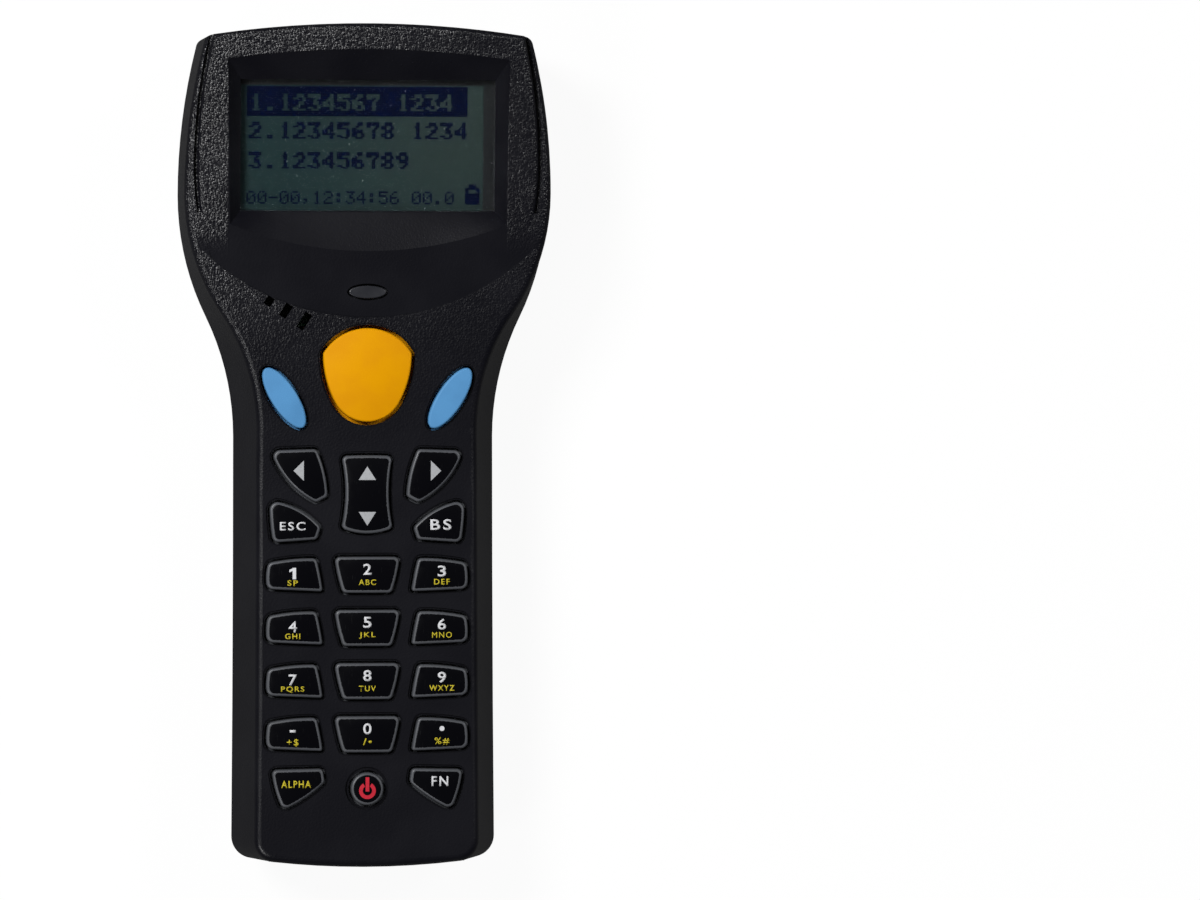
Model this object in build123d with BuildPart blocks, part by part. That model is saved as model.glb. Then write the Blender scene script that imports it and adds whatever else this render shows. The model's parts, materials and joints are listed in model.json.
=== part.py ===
from build123d import *

import os
from collections.abc import Callable
from dataclasses import dataclass
from math import atan, cos, radians, sin, sqrt, tan

os.makedirs("parts", exist_ok=True)

# Portable barcode data terminal, lying on its back. Millimetres.
# +X is to the right of the keys, +Y to the head, +Z out of the keys.
# The origin is the middle of the back face.

# ---------------------------------------------------------------- case in plan
half_length = 85.5  # middle of the body to the crown of each end
stretch = half_length / 85.5  # places between the ends keep their share of the length
grip_half_low = 26.9  # half width of the grip at its end
grip_half_top = 26.5  # half width of the grip where the flare starts
head_half = 37.8  # half width of the head at its widest
crown_half = 33.7  # half width where the head's sides meet its end
flare_start = 2.0  # Y where the grip starts to widen
flare_end = 51.0 * stretch  # Y where the head is widest
low_end_radius = 175.0  # bow of the grip's end
head_end_radius = 209.0  # bow of the head's end
low_corner = 4.5
head_corner = 2.0

# ------------------------------------------------------- case heights and walls
parting_z = 14.0  # plane where the two cases meet
face_z = 27.0  # key face of the grip
wall = 2.0
face_half = 22.3  # half width of the grip's flat key face
head_lean = 0.6  # how far the head's sides lean in at the height of the key face
end_lean = 0.3  # how far the ends lean in at that height
back_grip_in = 3.5  # how far the grip's sides lean in at the back
back_head_in = 3.0
back_end_in = 0.8
back_edge = 2.8  # rounding round the back
back_rounder = 2.5  # the corners' radius grows by this towards the back
face_edge = 1.5  # rounding round the key face
head_tilt = 5.0  # degrees that the head's rails rise
bend_y = 2.0  # Y where the grip's face and the rails' plane meet
bend_radius = 250.0  # hollow that joins them

# --------------------------------------------------------------- display plateau
lcd_y = 60.3 * stretch  # middle of the display
plateau_rise = 0.6  # plateau above the rails at the middle of the display
plateau_tilt = 7.0
plateau_low_y = 25.8 * stretch  # lowest point of the plateau's rim
plateau_low_radius = 48.0
plateau_corner_half = 31.6
plateau_half = 34.5
plateau_wide_y = 56.0 * stretch
plateau_crown_half = 31.2
plateau_edge = 1.0
plateau_corner = 3.0
rail_groove = 0.7  # width of the groove between rail and plateau
rail_groove_depth = 1.0
rail_groove_y = 47.0 * stretch  # the groove runs from here to the head's end

recess_depth = 2.6
recess_half_top = 28.4
recess_half_low = 27.9
recess_top = 17.5  # recess corners above and below the middle of the display
recess_low = 15.7
recess_top_bow = 2.0
recess_low_bow = 5.3
glass_opening_length = 51.5
glass_opening_height = 26.6
lip = 1.0  # wall left under the recess's edge
window_margin = 2.0  # flange of the display window round its opening
window_flange = 1.0
window_sink = 0.3  # the window's face lies this far inside the opening
fit = 0.2  # loose fit round display pieces
glass_length = 54.5
glass_height = 30.0
glass_thickness = 2.0
backlight_length = 52.5
backlight_height = 28.0
backlight_thickness = 2.5
holder_wall = 1.5
holder_ledge = 4.0

# ------------------------------------------------------ status lens, sound slots
lens_y = 31.1 * stretch
lens_length = 7.5
lens_height = 2.6
lens_gap = 0.4
lens_flange = 0.9
light_pipe_radius = 1.1
slot_width = 1.6
slot_angle = 57.0
sound_slots = [  # x, y, length
    (-19.9, 29.2 * stretch, 1.9),
    (-16.5, 27.3 * stretch, 2.9),
    (-12.8, 25.2 * stretch, 3.6),
]
beeper_x = -17.2
beeper_y = 30.2 * stretch
beeper_radius = 5.0
beeper_height = 4.0
beeper_port = 1.0

# --------------------------------------------------------------------------- keys
scan_key_half = 8.95
scan_key_low_y = 4.9 * stretch
scan_key_wide_y = 18.7 * stretch
scan_key_high_y = 23.8 * stretch
scan_key_flank = 21.0  # radius of its sides
scan_key_corner = 1.2
enter_key_x = 16.8
enter_key_y = 9.7 * stretch
enter_key_length = 14.2
enter_key_width = 5.2
enter_key_lean = 33.0
key_gap = 0.45  # play round a key in its opening
scan_gap = 0.7
key_rise = 1.3  # cap above the face
scan_rise = 1.9
key_travel = 0.9
key_edge = 0.45  # rounding of a cap
key_crown = 60.0  # dome of a cap
scan_crown = 45.0
key_flange = 1.1
flange_reach = 0.35  # flange under the edge of the opening
flange_gap = 0.2  # flange below the case
post_radius = 1.3
post_play = 0.4  # between a post and the mat
rim_step = 0.35  # shallow step round each opening
rocker_swing = 3.5  # degrees each way
row_pitch = 10.75 * stretch
first_row_y = -26.0 * stretch
side_key_x = 14.9
dome_radius = 2.0
dome_height = 0.35
dome_gap = 0.1
power_radius = 3.3
power_y = -69.3 * stretch
power_ring = 1.1
power_ring_depth = 0.5

# ----------------------------------------------------------------- boards and mat
board_top = 20.6
board_thickness = 1.6
board_side_gap = 0.55  # board to the case's inner wall
board_end_in = 6.0
mat_half = 20.8
mat_low_y = -74.9 * stretch
mat_high_y = 24.4 * stretch
chips = [  # x, y, size along X, size along Y, height
    (-14.0, 41.0 * stretch, 14.0, 14.0, 1.4),
    (8.0, 26.0 * stretch, 12.0, 8.0, 1.1),
    (0.0, -30.0 * stretch, 8.0, 8.0, 1.1),
    (0.0, -56.0 * stretch, 6.0, 5.0, 1.1),
]
led_length = 3.2
led_width = 1.8
led_height = 0.8
shield_x = 14.0
shield_y = 44.0 * stretch
shield_length = 18.0
shield_width = 14.0
shield_height = 2.2
sheet = 0.3  # thin metal and flat cable

# ------------------------------------------------------------------------ screws
case_screw_points = [(27.0, 79.6), (29.6, 37.0)]  # and their mirror images
case_boss = 2.5
case_screw_radius = 1.0
case_head_radius = 1.9
case_head_height = 1.6
case_head_sink = 4.0  # screw head's seat above the back
insert_radius = 1.6
insert_length = 4.5
screw_play = 0.05
bore_play = 0.2
board_screw_points = [(31.2, 62.0), (13.0, -77.2)]
board_post = 2.0
board_screw_radius = 0.8
board_screw_head = 1.5
board_screw_grip = 3.5
board_head_height = 0.9
drive_slot = 0.5
seal_inset = 0.7
seal_width = 0.6
seal_depth = 0.6
seal_play = 0.05

# ---------------------------------------------------------------- battery and bay
pack_half = 17.0
pack_length = 60.0
pack_end_in = 15.3  # pack to the grip's end
pack_height = 11.4
pack_edge = 1.5
pack_play = 0.4
cover_thickness = 2.0
cover_half = 18.4
cover_reach = 10.2  # cover past the pack
cover_play = 0.15
tongue_reach = 1.2
tongue_low_z = 0.9
tongue_height = 0.7
tongue_end_in = 4.0
thumb_grooves = 5
thumb_pitch = 2.2
thumb_end_in = 19.5
thumb_length = 18.0
bay_wall = 1.4
floor_thickness = 2.2
track_floor = 1.9  # floor above the cover's track
track_side = 1.6
contact_pitch = 8.0
contact_width = 2.5
contact_pin = 1.0
contact_z = 8.0

# ------------------------------------------------------------------- grip end
port_z = 8.0  # height of jack, port and infrared window
jack_x = -16.2
jack_half = 3.9
jack_length = 9.5
jack_nose = 3.7
jack_bore = 2.75
jack_bore_depth = 9.0
jack_pin = 1.0
jack_mouth = 3.0  # length of the jack's bore
jack_chamber = 3.1  # wider room behind it, for the spring contact
jack_pin_in = 3.6  # the pin starts this deep
jack_sink = 0.4
nose_play = 0.1
port_half = 8.2
port_height = 6.0
port_length = 9.5
port_wall = 0.85
port_depth = 6.0
port_pins = 8
port_pin_length = 1.4
port_pin_radius = 0.3
end_block_half = 11.9
end_block_in = 5.0
flap_half = 9.9
flap_height = 7.1
flap_thickness = 1.5
flap_pivot_z = 12.0
flap_play = 0.15
flap_pin_radius = 0.4
flap_pin_overhang = 0.7
flap_corner = 1.5
nail_half = 3.0
nail_depth = 1.0
ir_x = 16.5
ir_length = 9.0
ir_height = 5.0
ir_play = 0.05
hook_from = 15.2
hook_width = 4.6
hook_depth = 1.3
hook_thickness = 1.1
hook_play = 0.35

# -------------------------------------------------------------- scanner in the head
scan_half = 21.0
scan_low_z = 4.2
scan_height = 8.0
scan_thickness = 1.6
scan_face_in = 1.9  # from the head's crown
scan_play = 0.1
scan_rim = 1.5  # seat of the window inside its frame
scan_corner = 1.5
scan_frame_in = 5.7
scan_frame_side = 2.4
chassis_half = 14.0
chassis_end_in = 7.5
chassis_length = 21.0
chassis_base = 1.2
chassis_wall = 1.2
chassis_height = 9.4
chassis_pad = 1.0  # pads that lift the chassis off the floor
chassis_pad_radius = 1.6
chassis_pad_in = 3.0
beam_z = 8.6
mirror_x = 3.0
mirror_end_in = 19.5
mirror_length = 7.0
mirror_height = 5.2
mirror_thickness = 0.8
mirror_hub = 1.2
mirror_pin_radius = 0.6
mirror_play = 0.05
pin_fit = 0.03
barrel_radius = 2.3
barrel_length = 9.0
barrel_gap = 4.6  # muzzle to the mirror's pin
sensor_x = 9.0
cable_width = 20.0
scan_cable_width = 8.0
cable_reach = 3.0
sensor_size = 5.0

# ------------------------------------------------------------------ small hidden things
motor_x = 14.0
motor_y = 14.0 * stretch
motor_z = 7.4
motor_radius = 3.0
motor_length = 10.0
motor_shaft = 0.5
motor_shaft_length = 4.2
weight_radius = 4.0
weight_length = 3.0
weight_play = 0.05
weight_gap = 0.5
cradle_half = 4.0
cell_x = -12.0
cell_y = 17.0 * stretch
cell_radius = 6.2
cell_height = 2.0
cell_wall = 1.2


def sag(half_chord, radius):
    """Drop of an arc from its crown, at a distance from its middle."""
    return radius - sqrt(radius**2 - half_chord**2)


# ------------------------------------------------------- derived heights and places
face_lean = (grip_half_top + grip_half_low) / 2 - face_half
draw_z = parting_z + 2 * (face_z - parting_z)  # height that the front's sides are drawn to
board_z = board_top - board_thickness
flange_z = face_z - wall - flange_gap  # top of a key's flange at rest
flange_low_z = flange_z - key_flange
flange_lean = face_lean * (flange_z - parting_z) / (face_z - parting_z)
flange_half = grip_half_top - flange_lean - wall - key_gap / 2  # the case's side walls trim it
mat_top = flange_low_z - key_travel - 2 * flange_gap
post_low_z = board_top + dome_height + key_travel + dome_gap
track_z = cover_thickness + cover_play
inner_floor_z = track_z + track_floor
pack_z = track_z + pack_play
bay_ceiling = pack_z + pack_height + pack_play
pack_low_y = pack_end_in - half_length
pack_high_y = pack_low_y + pack_length
cover_high_y = pack_high_y + cover_reach
thumb_y = thumb_end_in - half_length
bay_high_y = pack_high_y + 2 * pack_play
bay_low_y = pack_low_y - pack_play
pad_depth = recess_depth + lip
margin = 20.0  # cutting tools reach this far past the body
past_end = half_length + margin
past_side = head_half + margin
bay_half = pack_half + pack_play
track_half = cover_half + tongue_reach + cover_play
rear_end_y = half_length - back_end_in * (1 - port_z / parting_z)  # end of the grip, halfway up
flap_face_y = sag(flap_half, low_end_radius) - rear_end_y
flap_pivot_y = flap_face_y + flap_thickness / 2
flap_seat_y = flap_face_y + flap_thickness + flap_play
jack_face_y = sag(abs(jack_x), low_end_radius) - rear_end_y + jack_sink
jack_corner_lean = back_end_in * (1 - inner_floor_z / parting_z)
jack_body_y = sag(abs(jack_x) + jack_half, low_end_radius) - half_length + jack_corner_lean + wall + fit
ir_face_y = sag(ir_x, low_end_radius) - rear_end_y + ir_play
end_block_y = end_block_in - half_length
hook_y = sag(hook_from + hook_width, low_end_radius) - half_length + wall + hook_play
scan_face_y = half_length - scan_face_in
scan_frame_y = half_length - scan_frame_in
chassis_high_y = half_length - chassis_end_in
chassis_low_y = chassis_high_y - chassis_length
mirror_y = half_length - mirror_end_in
chassis_z = floor_thickness + chassis_pad
chassis_top = chassis_z + chassis_base
motor_end_y = motor_y + motor_length
barrel_end_x = mirror_x - barrel_gap - barrel_length
led_top = board_top + led_height
contacts_at = [-contact_pitch, 0.0, contact_pitch]


# ------------------------------------------------------------------ shape helpers
def case_outline(height, grip_in, head_in, end_in, inset, rounder=0.0):
    """Face of the body's plan at a height, its sides and ends moved in, then all of it inset."""
    grip_low = grip_half_low - grip_in - inset
    grip_top = grip_half_top - grip_in - inset
    head = head_half - head_in - inset
    crown = crown_half - head_in - inset
    end_y = half_length - end_in - inset
    low_point = (grip_low, sag(grip_low, low_end_radius) - end_y)
    crown_point = (crown, end_y - sag(crown, head_end_radius))
    middle = ((grip_top + head) / 2, (flare_start + flare_end) / 2)
    with BuildSketch(Plane.XY.offset(height)) as outline:
        with BuildLine():
            TangentArc((0, -end_y), low_point, tangent=(1, 0))
            TangentArc((grip_top, flare_start), low_point, tangent=(0, -1))
            TangentArc((grip_top, flare_start), middle, tangent=(0, 1))
            TangentArc((head, flare_end), middle, tangent=(0, -1))
            TangentArc((head, flare_end), crown_point, tangent=(0, 1))
            TangentArc((0, end_y), crown_point, tangent=(1, 0))
            mirror(about=Plane.YZ)
        make_face()
        for x, y, radius in ((*low_point, low_corner), (*crown_point, head_corner)):
            for side in (-1, 1):
                corner = outline.vertices().sort_by_distance((side * x, y, height))[0]
                fillet(corner, max(radius - inset, radius / 2) + rounder)
    return outline.sketch.face()


def front_outline(height, inset=0.0):
    """Outline of the front case at a height: its sides and ends lean in as they rise."""
    share = (height - parting_z) / (face_z - parting_z)
    return case_outline(height, share * face_lean, share * head_lean, share * end_lean, inset)


def rear_outline(height, inset=0.0):
    """Outline of the rear case at a height: it narrows towards the back."""
    share = (parting_z - height) / parting_z
    moves = [share * move for move in (back_grip_in, back_head_in, back_end_in)]
    return case_outline(height, *moves, inset, share * back_rounder)


def face_height(y, depth=0.0):
    """Height of the key face, or of its copy moved in by a depth, at a place along the body."""
    half_bend = radians(head_tilt) / 2
    start = bend_y + depth * tan(half_bend) - (bend_radius + depth) * tan(half_bend)
    reach = (bend_radius + depth) * sin(radians(head_tilt))
    if y <= start:
        return face_z - depth
    if y <= start + reach:
        return face_z - depth + sag(y - start, bend_radius + depth)
    top = face_z - depth + sag(reach, bend_radius + depth)
    return top + (y - start - reach) * tan(radians(head_tilt))


plateau_z = face_height(lcd_y) + plateau_rise
plateau = Plane(
    origin=(0, lcd_y, plateau_z),
    x_dir=(1, 0, 0),
    z_dir=(0, -sin(radians(plateau_tilt)), cos(radians(plateau_tilt))),
)


def plateau_height(y, depth=0.0):
    """Height of the plateau's face, or of a plane parallel to it, at a place along the body."""
    return plateau_z + (y - lcd_y) * tan(radians(plateau_tilt)) - depth / cos(radians(plateau_tilt))


def below_face(depth):
    """Everything under the key face moved in by a depth."""
    half_bend = radians(head_tilt) / 2
    start = bend_y + depth * tan(half_bend) - (bend_radius + depth) * tan(half_bend)
    stop = start + (bend_radius + depth) * sin(radians(head_tilt))
    end_y = half_length + margin
    with BuildPart() as under:
        with BuildSketch(Plane.YZ):
            with BuildLine():
                Polyline((start, face_z - depth), (-end_y, face_z - depth), (-end_y, 0))
                Polyline((-end_y, 0), (end_y, 0), (end_y, face_height(end_y, depth)))
                Line((end_y, face_height(end_y, depth)), (stop, face_height(stop, depth)))
                TangentArc(
                    (start, face_z - depth), (stop, face_height(stop, depth)), tangent=(1, 0)
                )
            make_face()
        extrude(amount=head_half + margin, both=True)
    return under.part


def plateau_outline(grow=0.0):
    """Plan of the display plateau, open past the head's end."""
    low_y = plateau_low_y + sag(plateau_corner_half, plateau_low_radius)
    high_y = half_length + margin
    crown_y = half_length - sag(plateau_crown_half, head_end_radius)
    with BuildSketch() as plan:
        with BuildLine():
            TangentArc((0, plateau_low_y), (plateau_corner_half, low_y), tangent=(1, 0))
            widest = (plateau_half, plateau_wide_y)
            TangentArc(widest, (plateau_corner_half, low_y), tangent=(0, -1))
            side = TangentArc(widest, (plateau_crown_half, crown_y), tangent=(0, 1))
            past = Line(side @ 1, side @ 1 + (side % 1) * margin)
            Line(past @ 1, (0, (past @ 1).Y))
            mirror(about=Plane.YZ)
        make_face()
        for side_x in (-plateau_corner_half, plateau_corner_half):
            fillet(plan.vertices().sort_by_distance((side_x, low_y))[0], plateau_corner)
        if grow:
            offset(amount=grow)
    return plan.sketch.face()


def keep_below(plane):
    """Cuts off what the part being built has above a plane."""
    split(bisect_by=plane, keep=Keep.BOTTOM)


def mirrored_pairs(points):
    """Each point and its mirror image across the body, in step with its length."""
    return [(side * x, y * stretch) for x, y in points for side in (-1, 1)]


def pegs(points, low_z, radius, height, mode=Mode.ADD):
    """Upright round pegs on a height, in the part being built."""
    with Locations(*[(x, y, low_z) for x, y in points]):
        Cylinder(radius, height, align=(Align.CENTER, Align.CENTER, Align.MIN), mode=mode)


def block(x_span, y_span, z_span, mode=Mode.ADD):
    """Box between two places along each axis, in the part being built."""
    spans = (x_span, y_span, z_span)
    with Locations(tuple((low + high) / 2 for low, high in spans)):
        Box(*(high - low for low, high in spans), mode=mode)


def rod(start, radius, length, axis, mode=Mode.ADD):
    """Round rod from a point along +X or +Y, in the part being built."""
    turn = (0, 90, 0) if axis == Axis.X else (-90, 0, 0)
    foot = (Align.CENTER, Align.CENTER, Align.MIN)
    with Locations(start):
        Cylinder(radius, length, rotation=turn, align=foot, mode=mode)


def finish(builder, name):
    """Names a finished piece and writes its STEP file."""
    builder.part.label = name
    export_step(builder.part, f"parts/{name}.step")


# ---------------------------------------------------------------------- key shapes
def key_plan(corners, side=1, grow=0.0):
    """Key face from corners (x, y, radius, bulge of the next side), mirrored where side is -1."""
    with BuildSketch() as plan:
        with BuildLine():
            for (x, y, _, bulge), (to_x, to_y, _, _) in zip(corners, corners[1:] + corners[:1]):
                if bulge:
                    SagittaArc((side * x, y), (side * to_x, to_y), -side * bulge)
                else:
                    Line((side * x, y), (side * to_x, to_y))
        make_face()
        for x, y, radius, _ in corners:
            fillet(plan.vertices().sort_by_distance((side * x, y))[0], radius)
        if grow:
            offset(amount=grow)
    return plan.sketch.face()


def scan_plan(grow=0.0):
    """Scan key: a shield with a bowed top, curved flanks and a round toe."""
    half = scan_key_half + grow
    flank = scan_key_flank + grow
    low_y = scan_key_low_y - grow
    drop = scan_key_wide_y - low_y
    reach = flank - half
    toe = (flank**2 - reach**2 - drop**2) / 2 / (flank - drop)
    share = flank / (flank - toe)
    joint = (reach * share - reach, scan_key_wide_y - (drop - toe) * share)
    with BuildSketch() as plan:
        with BuildLine():
            corner = (half, scan_key_wide_y)
            mirror_corner = (-half, scan_key_wide_y)
            ThreePointArc(corner, (0, scan_key_high_y + grow), mirror_corner)
            TangentArc(mirror_corner, (-joint[0], joint[1]), tangent=(0, -1))
            ThreePointArc((-joint[0], joint[1]), (0, low_y), joint)
            TangentArc(corner, joint, tangent=(0, -1))
        make_face()
        for point in (corner, mirror_corner):
            fillet(plan.vertices().sort_by_distance(point)[0], scan_key_corner + grow)
    return plan.sketch.face()


def enter_plan(side, grow=0.0):
    """Slim leaning ellipse beside the scan key."""
    with BuildSketch() as plan:
        with Locations((side * enter_key_x, enter_key_y)):
            length = enter_key_length / 2 + grow
            width = enter_key_width / 2 + grow
            Ellipse(length, width, rotation=90 - side * enter_key_lean)
    return plan.sketch.face()


def power_plan(grow=0.0):
    """Round power key."""
    with BuildSketch() as plan:
        with Locations((0, power_y)):
            Circle(power_radius + grow)
    return plan.sketch.face()


def rocker_plan(grow=0.0):
    """Tall rocker between the two arrow keys."""
    return key_plan(rocker_corners, grow=grow)


def side_number_corners(row_y):
    """Right-hand number key of a row."""
    return [
        (10.3, row_y + 3.3, 1.0, 0.1),
        (9.0, row_y - 3.4, 0.5, 0.0),
        (20.2, row_y - 2.9, 1.4, 0.3),
        (20.0, row_y + 2.4, 1.3, 0.3),
    ]


def middle_number_corners(row_y):
    """Middle number key of a row."""
    return [
        (6.6, row_y + 3.6, 1.0, 0.0),
        (-6.6, row_y + 3.6, 1.0, 0.2),
        (-4.9, row_y - 3.7, 1.0, 0.0),
        (4.9, row_y - 3.7, 1.0, 0.2),
    ]


arrow_corners = [
    (19.5, -0.9 * stretch, 1.3, 0.0),
    (10.3, -0.6 * stretch, 1.0, 0.5),
    (8.0, -10.2 * stretch, 0.9, 0.0),
    (10.3, -11.4 * stretch, 0.9, 1.4),
]
escape_corners = [
    (19.7, -11.0 * stretch, 1.6, 1.1),
    (9.4, -16.5 * stretch, 1.1, 0.0),
    (10.2, -18.9 * stretch, 0.9, 0.0),
    (19.0, -19.5 * stretch, 1.3, 0.2),
]
rocker_corners = [
    (5.2, -2.0 * stretch, 1.0, 0.15),
    (-5.2, -2.0 * stretch, 1.0, -0.85),
    (-5.2, -16.6 * stretch, 1.0, 1.1),
    (5.2, -16.6 * stretch, 1.0, -0.85),
]
shift_corners = [
    (19.3, -65.4 * stretch, 1.0, 0.0),
    (9.0, -65.2 * stretch, 0.9, 0.0),
    (8.6, -67.9 * stretch, 1.1, 0.4),
    (17.0, -73.5 * stretch, 1.3, 0.4),
]
arrow_middle = (12.8, -5.0 * stretch)
escape_middle = (15.1, -16.0 * stretch)
shift_middle = (14.6, -68.2 * stretch)

number_rows = [("1", "2", "3"), ("4", "5", "6"), ("7", "8", "9"), ("minus", "0", "point")]


@dataclass
class Key:
    """One key: its outline at a growth, the middle of its dome, its posts and its fits."""

    name: str
    outline: Callable
    middle: tuple
    posts: list
    gap: float = key_gap
    rise: float = key_rise
    crown: float = key_crown


def corner_key(name, corners, side, middle):
    """A key drawn from corners, with one post under its middle."""
    post = (side * middle[0], middle[1])
    return Key(name, lambda grow=0.0: key_plan(corners, side, grow), post, [post])


def enter_key(name, side):
    """One of the two slim keys beside the scan key."""
    middle = (side * enter_key_x, enter_key_y)
    return Key(name, lambda grow=0.0: enter_plan(side, grow), middle, [middle])


def number_keys():
    """The number block, row by row."""
    block_keys = []
    for row, (left, middle, right) in enumerate(number_rows):
        row_y = first_row_y - row * row_pitch
        wide = side_number_corners(row_y)
        narrow = middle_number_corners(row_y)
        block_keys.append(corner_key(f"key_{left}", wide, -1, (side_key_x, row_y)))
        block_keys.append(corner_key(f"key_{middle}", narrow, 1, (0.0, row_y)))
        block_keys.append(corner_key(f"key_{right}", wide, 1, (side_key_x, row_y)))
    return block_keys


scan_middle = (0.0, (scan_key_low_y + scan_key_high_y) / 2)
rocker_posts = [(0.0, -5.5 * stretch), (0.0, -14.7 * stretch)]
rocker_middle = (0.0, (rocker_posts[0][1] + rocker_posts[1][1]) / 2)
power_middle = (0.0, power_y)
keys = [
    Key("scan_key", scan_plan, scan_middle, [scan_middle], scan_gap, scan_rise, scan_crown),
    enter_key("enter_key_left", -1),
    enter_key("enter_key_right", 1),
    corner_key("left_key", arrow_corners, -1, arrow_middle),
    Key("up_down_key", rocker_plan, rocker_middle, rocker_posts),
    corner_key("right_key", arrow_corners, 1, arrow_middle),
    corner_key("escape_key", escape_corners, -1, escape_middle),
    corner_key("backspace_key", escape_corners, 1, escape_middle),
    *number_keys(),
    corner_key("alpha_key", shift_corners, -1, shift_middle),
    Key("power_key", power_plan, power_middle, [power_middle]),
    corner_key("function_key", shift_corners, 1, shift_middle),
]
post_points = [post for key in keys for post in key.posts]
case_screws_at = mirrored_pairs(case_screw_points)
board_screws_at = mirrored_pairs(board_screw_points)
chassis_pads_at = [
    (side * (chassis_half - chassis_pad_in), y)
    for side in (-1, 1)
    for y in (chassis_low_y + chassis_pad_in, chassis_high_y - chassis_pad_in)
]


def raised(face, height):
    """The same face at another height."""
    return face.moved(Location((0, 0, height)))


# ---------------------------------------------------------------------- front case
with BuildPart() as front_block:
    loft([front_outline(parting_z), front_outline(draw_z)], ruled=True)
    add(below_face(0), mode=Mode.INTERSECT)
    rim = front_block.edges().filter_by(lambda edge: edge.center().Z > face_z - fit)
    fillet(rim - front_block.edges().filter_by(Axis.X), face_edge)

with BuildPart() as plateau_block:
    loft([front_outline(parting_z), front_outline(draw_z)], ruled=True)
    extrude(raised(plateau_outline(), parting_z), amount=draw_z - parting_z, mode=Mode.INTERSECT)
    keep_below(plateau)
    top_edges = plateau_block.faces().sort_by(Axis.Z)[-1].edges()
    fillet(top_edges, plateau_edge)

with BuildPart() as above_plateau:
    extrude(raised(plateau_outline(), parting_z), amount=draw_z - parting_z)
    split(bisect_by=plateau, keep=Keep.TOP)

with BuildPart() as groove_tool:
    extrude(raised(plateau_outline(rail_groove), parting_z), amount=draw_z)
    block((-past_side, past_side), (-past_end, rail_groove_y), (0, 2 * draw_z), Mode.SUBTRACT)
    add(below_face(rail_groove_depth), mode=Mode.SUBTRACT)

slope = cos(radians(plateau_tilt))
with BuildPart() as recess_tool:
    top_y = recess_top / slope
    low_y = -recess_low / slope
    with BuildSketch(plateau) as recess_rim:
        with BuildLine():
            ThreePointArc(
                (recess_half_top, top_y), (0, top_y + recess_top_bow), (-recess_half_top, top_y)
            )
            Line((-recess_half_top, top_y), (-recess_half_low, low_y))
            ThreePointArc(
                (-recess_half_low, low_y), (0, low_y - recess_low_bow), (recess_half_low, low_y)
            )
            Line((recess_half_low, low_y), (recess_half_top, top_y))
        make_face()
    with BuildSketch(plateau.offset(-recess_depth)) as recess_floor:
        Rectangle(glass_opening_length, glass_opening_height)
    loft(ruled=True)
    with BuildSketch(plateau.offset(-recess_depth)):
        Rectangle(glass_opening_length, glass_opening_height)
    extrude(amount=-margin / 2)

with BuildPart() as front_hollow:
    loft([front_outline(parting_z, wall), front_outline(draw_z, wall)], ruled=True)
    add(below_face(wall), mode=Mode.INTERSECT)
    with BuildSketch(plateau.offset(-pad_depth)):
        with Locations((0, -recess_low - recess_low_bow - wall)):
            Rectangle(2 * past_side, 2 * past_side, align=(Align.CENTER, Align.MIN))
    extrude(amount=margin, mode=Mode.SUBTRACT)
    pegs(case_screws_at, parting_z, case_boss, draw_z, Mode.SUBTRACT)
    pegs(board_screws_at, board_top, board_post, draw_z, Mode.SUBTRACT)

with BuildPart() as key_openings:
    for key in keys:
        extrude(raised(key.outline(key.gap), board_top), amount=margin)

with BuildPart() as key_steps:
    for key in keys:
        extrude(raised(key.outline(key.gap + rim_step), board_top), amount=margin)
    add(below_face(rim_step), mode=Mode.SUBTRACT)

with BuildPart() as power_recess:
    with BuildSketch(Plane.XY.offset(face_z - power_ring_depth)):
        with Locations((0, power_y)):
            Circle(power_radius + power_ring)
    extrude(amount=margin)

with BuildPart() as front_case:
    add(front_block.part)
    add(above_plateau.part, mode=Mode.SUBTRACT)
    add(groove_tool.part, mode=Mode.SUBTRACT)
    add(plateau_block.part)
    add(front_hollow.part, mode=Mode.SUBTRACT)
    add(recess_tool.part, mode=Mode.SUBTRACT)
    add(key_steps.part, mode=Mode.SUBTRACT)
    add(key_openings.part, mode=Mode.SUBTRACT)
    add(power_recess.part, mode=Mode.SUBTRACT)
    with BuildSketch(Plane.XY.offset(board_top)):
        with Locations((0, lens_y)):
            Ellipse(lens_length / 2 + lens_gap, lens_height / 2 + lens_gap)
        for x, y, length in sound_slots:
            with Locations((x, y)):
                Rectangle(length, slot_width, rotation=slot_angle)
    extrude(amount=margin, mode=Mode.SUBTRACT)
    for side in (-1, 1):
        x_span = sorted((side * hook_from, side * (hook_from + hook_width)))
        block(x_span, (hook_y - wall, hook_y + hook_thickness), (parting_z, face_z - wall / 2))
        block(x_span, (hook_y, hook_y + hook_thickness), (parting_z - hook_depth, parting_z))
    insert_room = insert_length + screw_play
    pegs(case_screws_at, parting_z, insert_radius + screw_play, insert_room, Mode.SUBTRACT)
    board_bore = board_screw_radius + screw_play
    pegs(board_screws_at, board_top, board_bore, board_screw_grip, Mode.SUBTRACT)
finish(front_case, "front_case")


# ----------------------------------------------------------------------- rear case
with BuildPart() as rear_block:
    loft([rear_outline(0), rear_outline(parting_z)], ruled=True)
    fillet(rear_block.faces().sort_by(Axis.Z)[0].edges(), back_edge)

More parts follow.
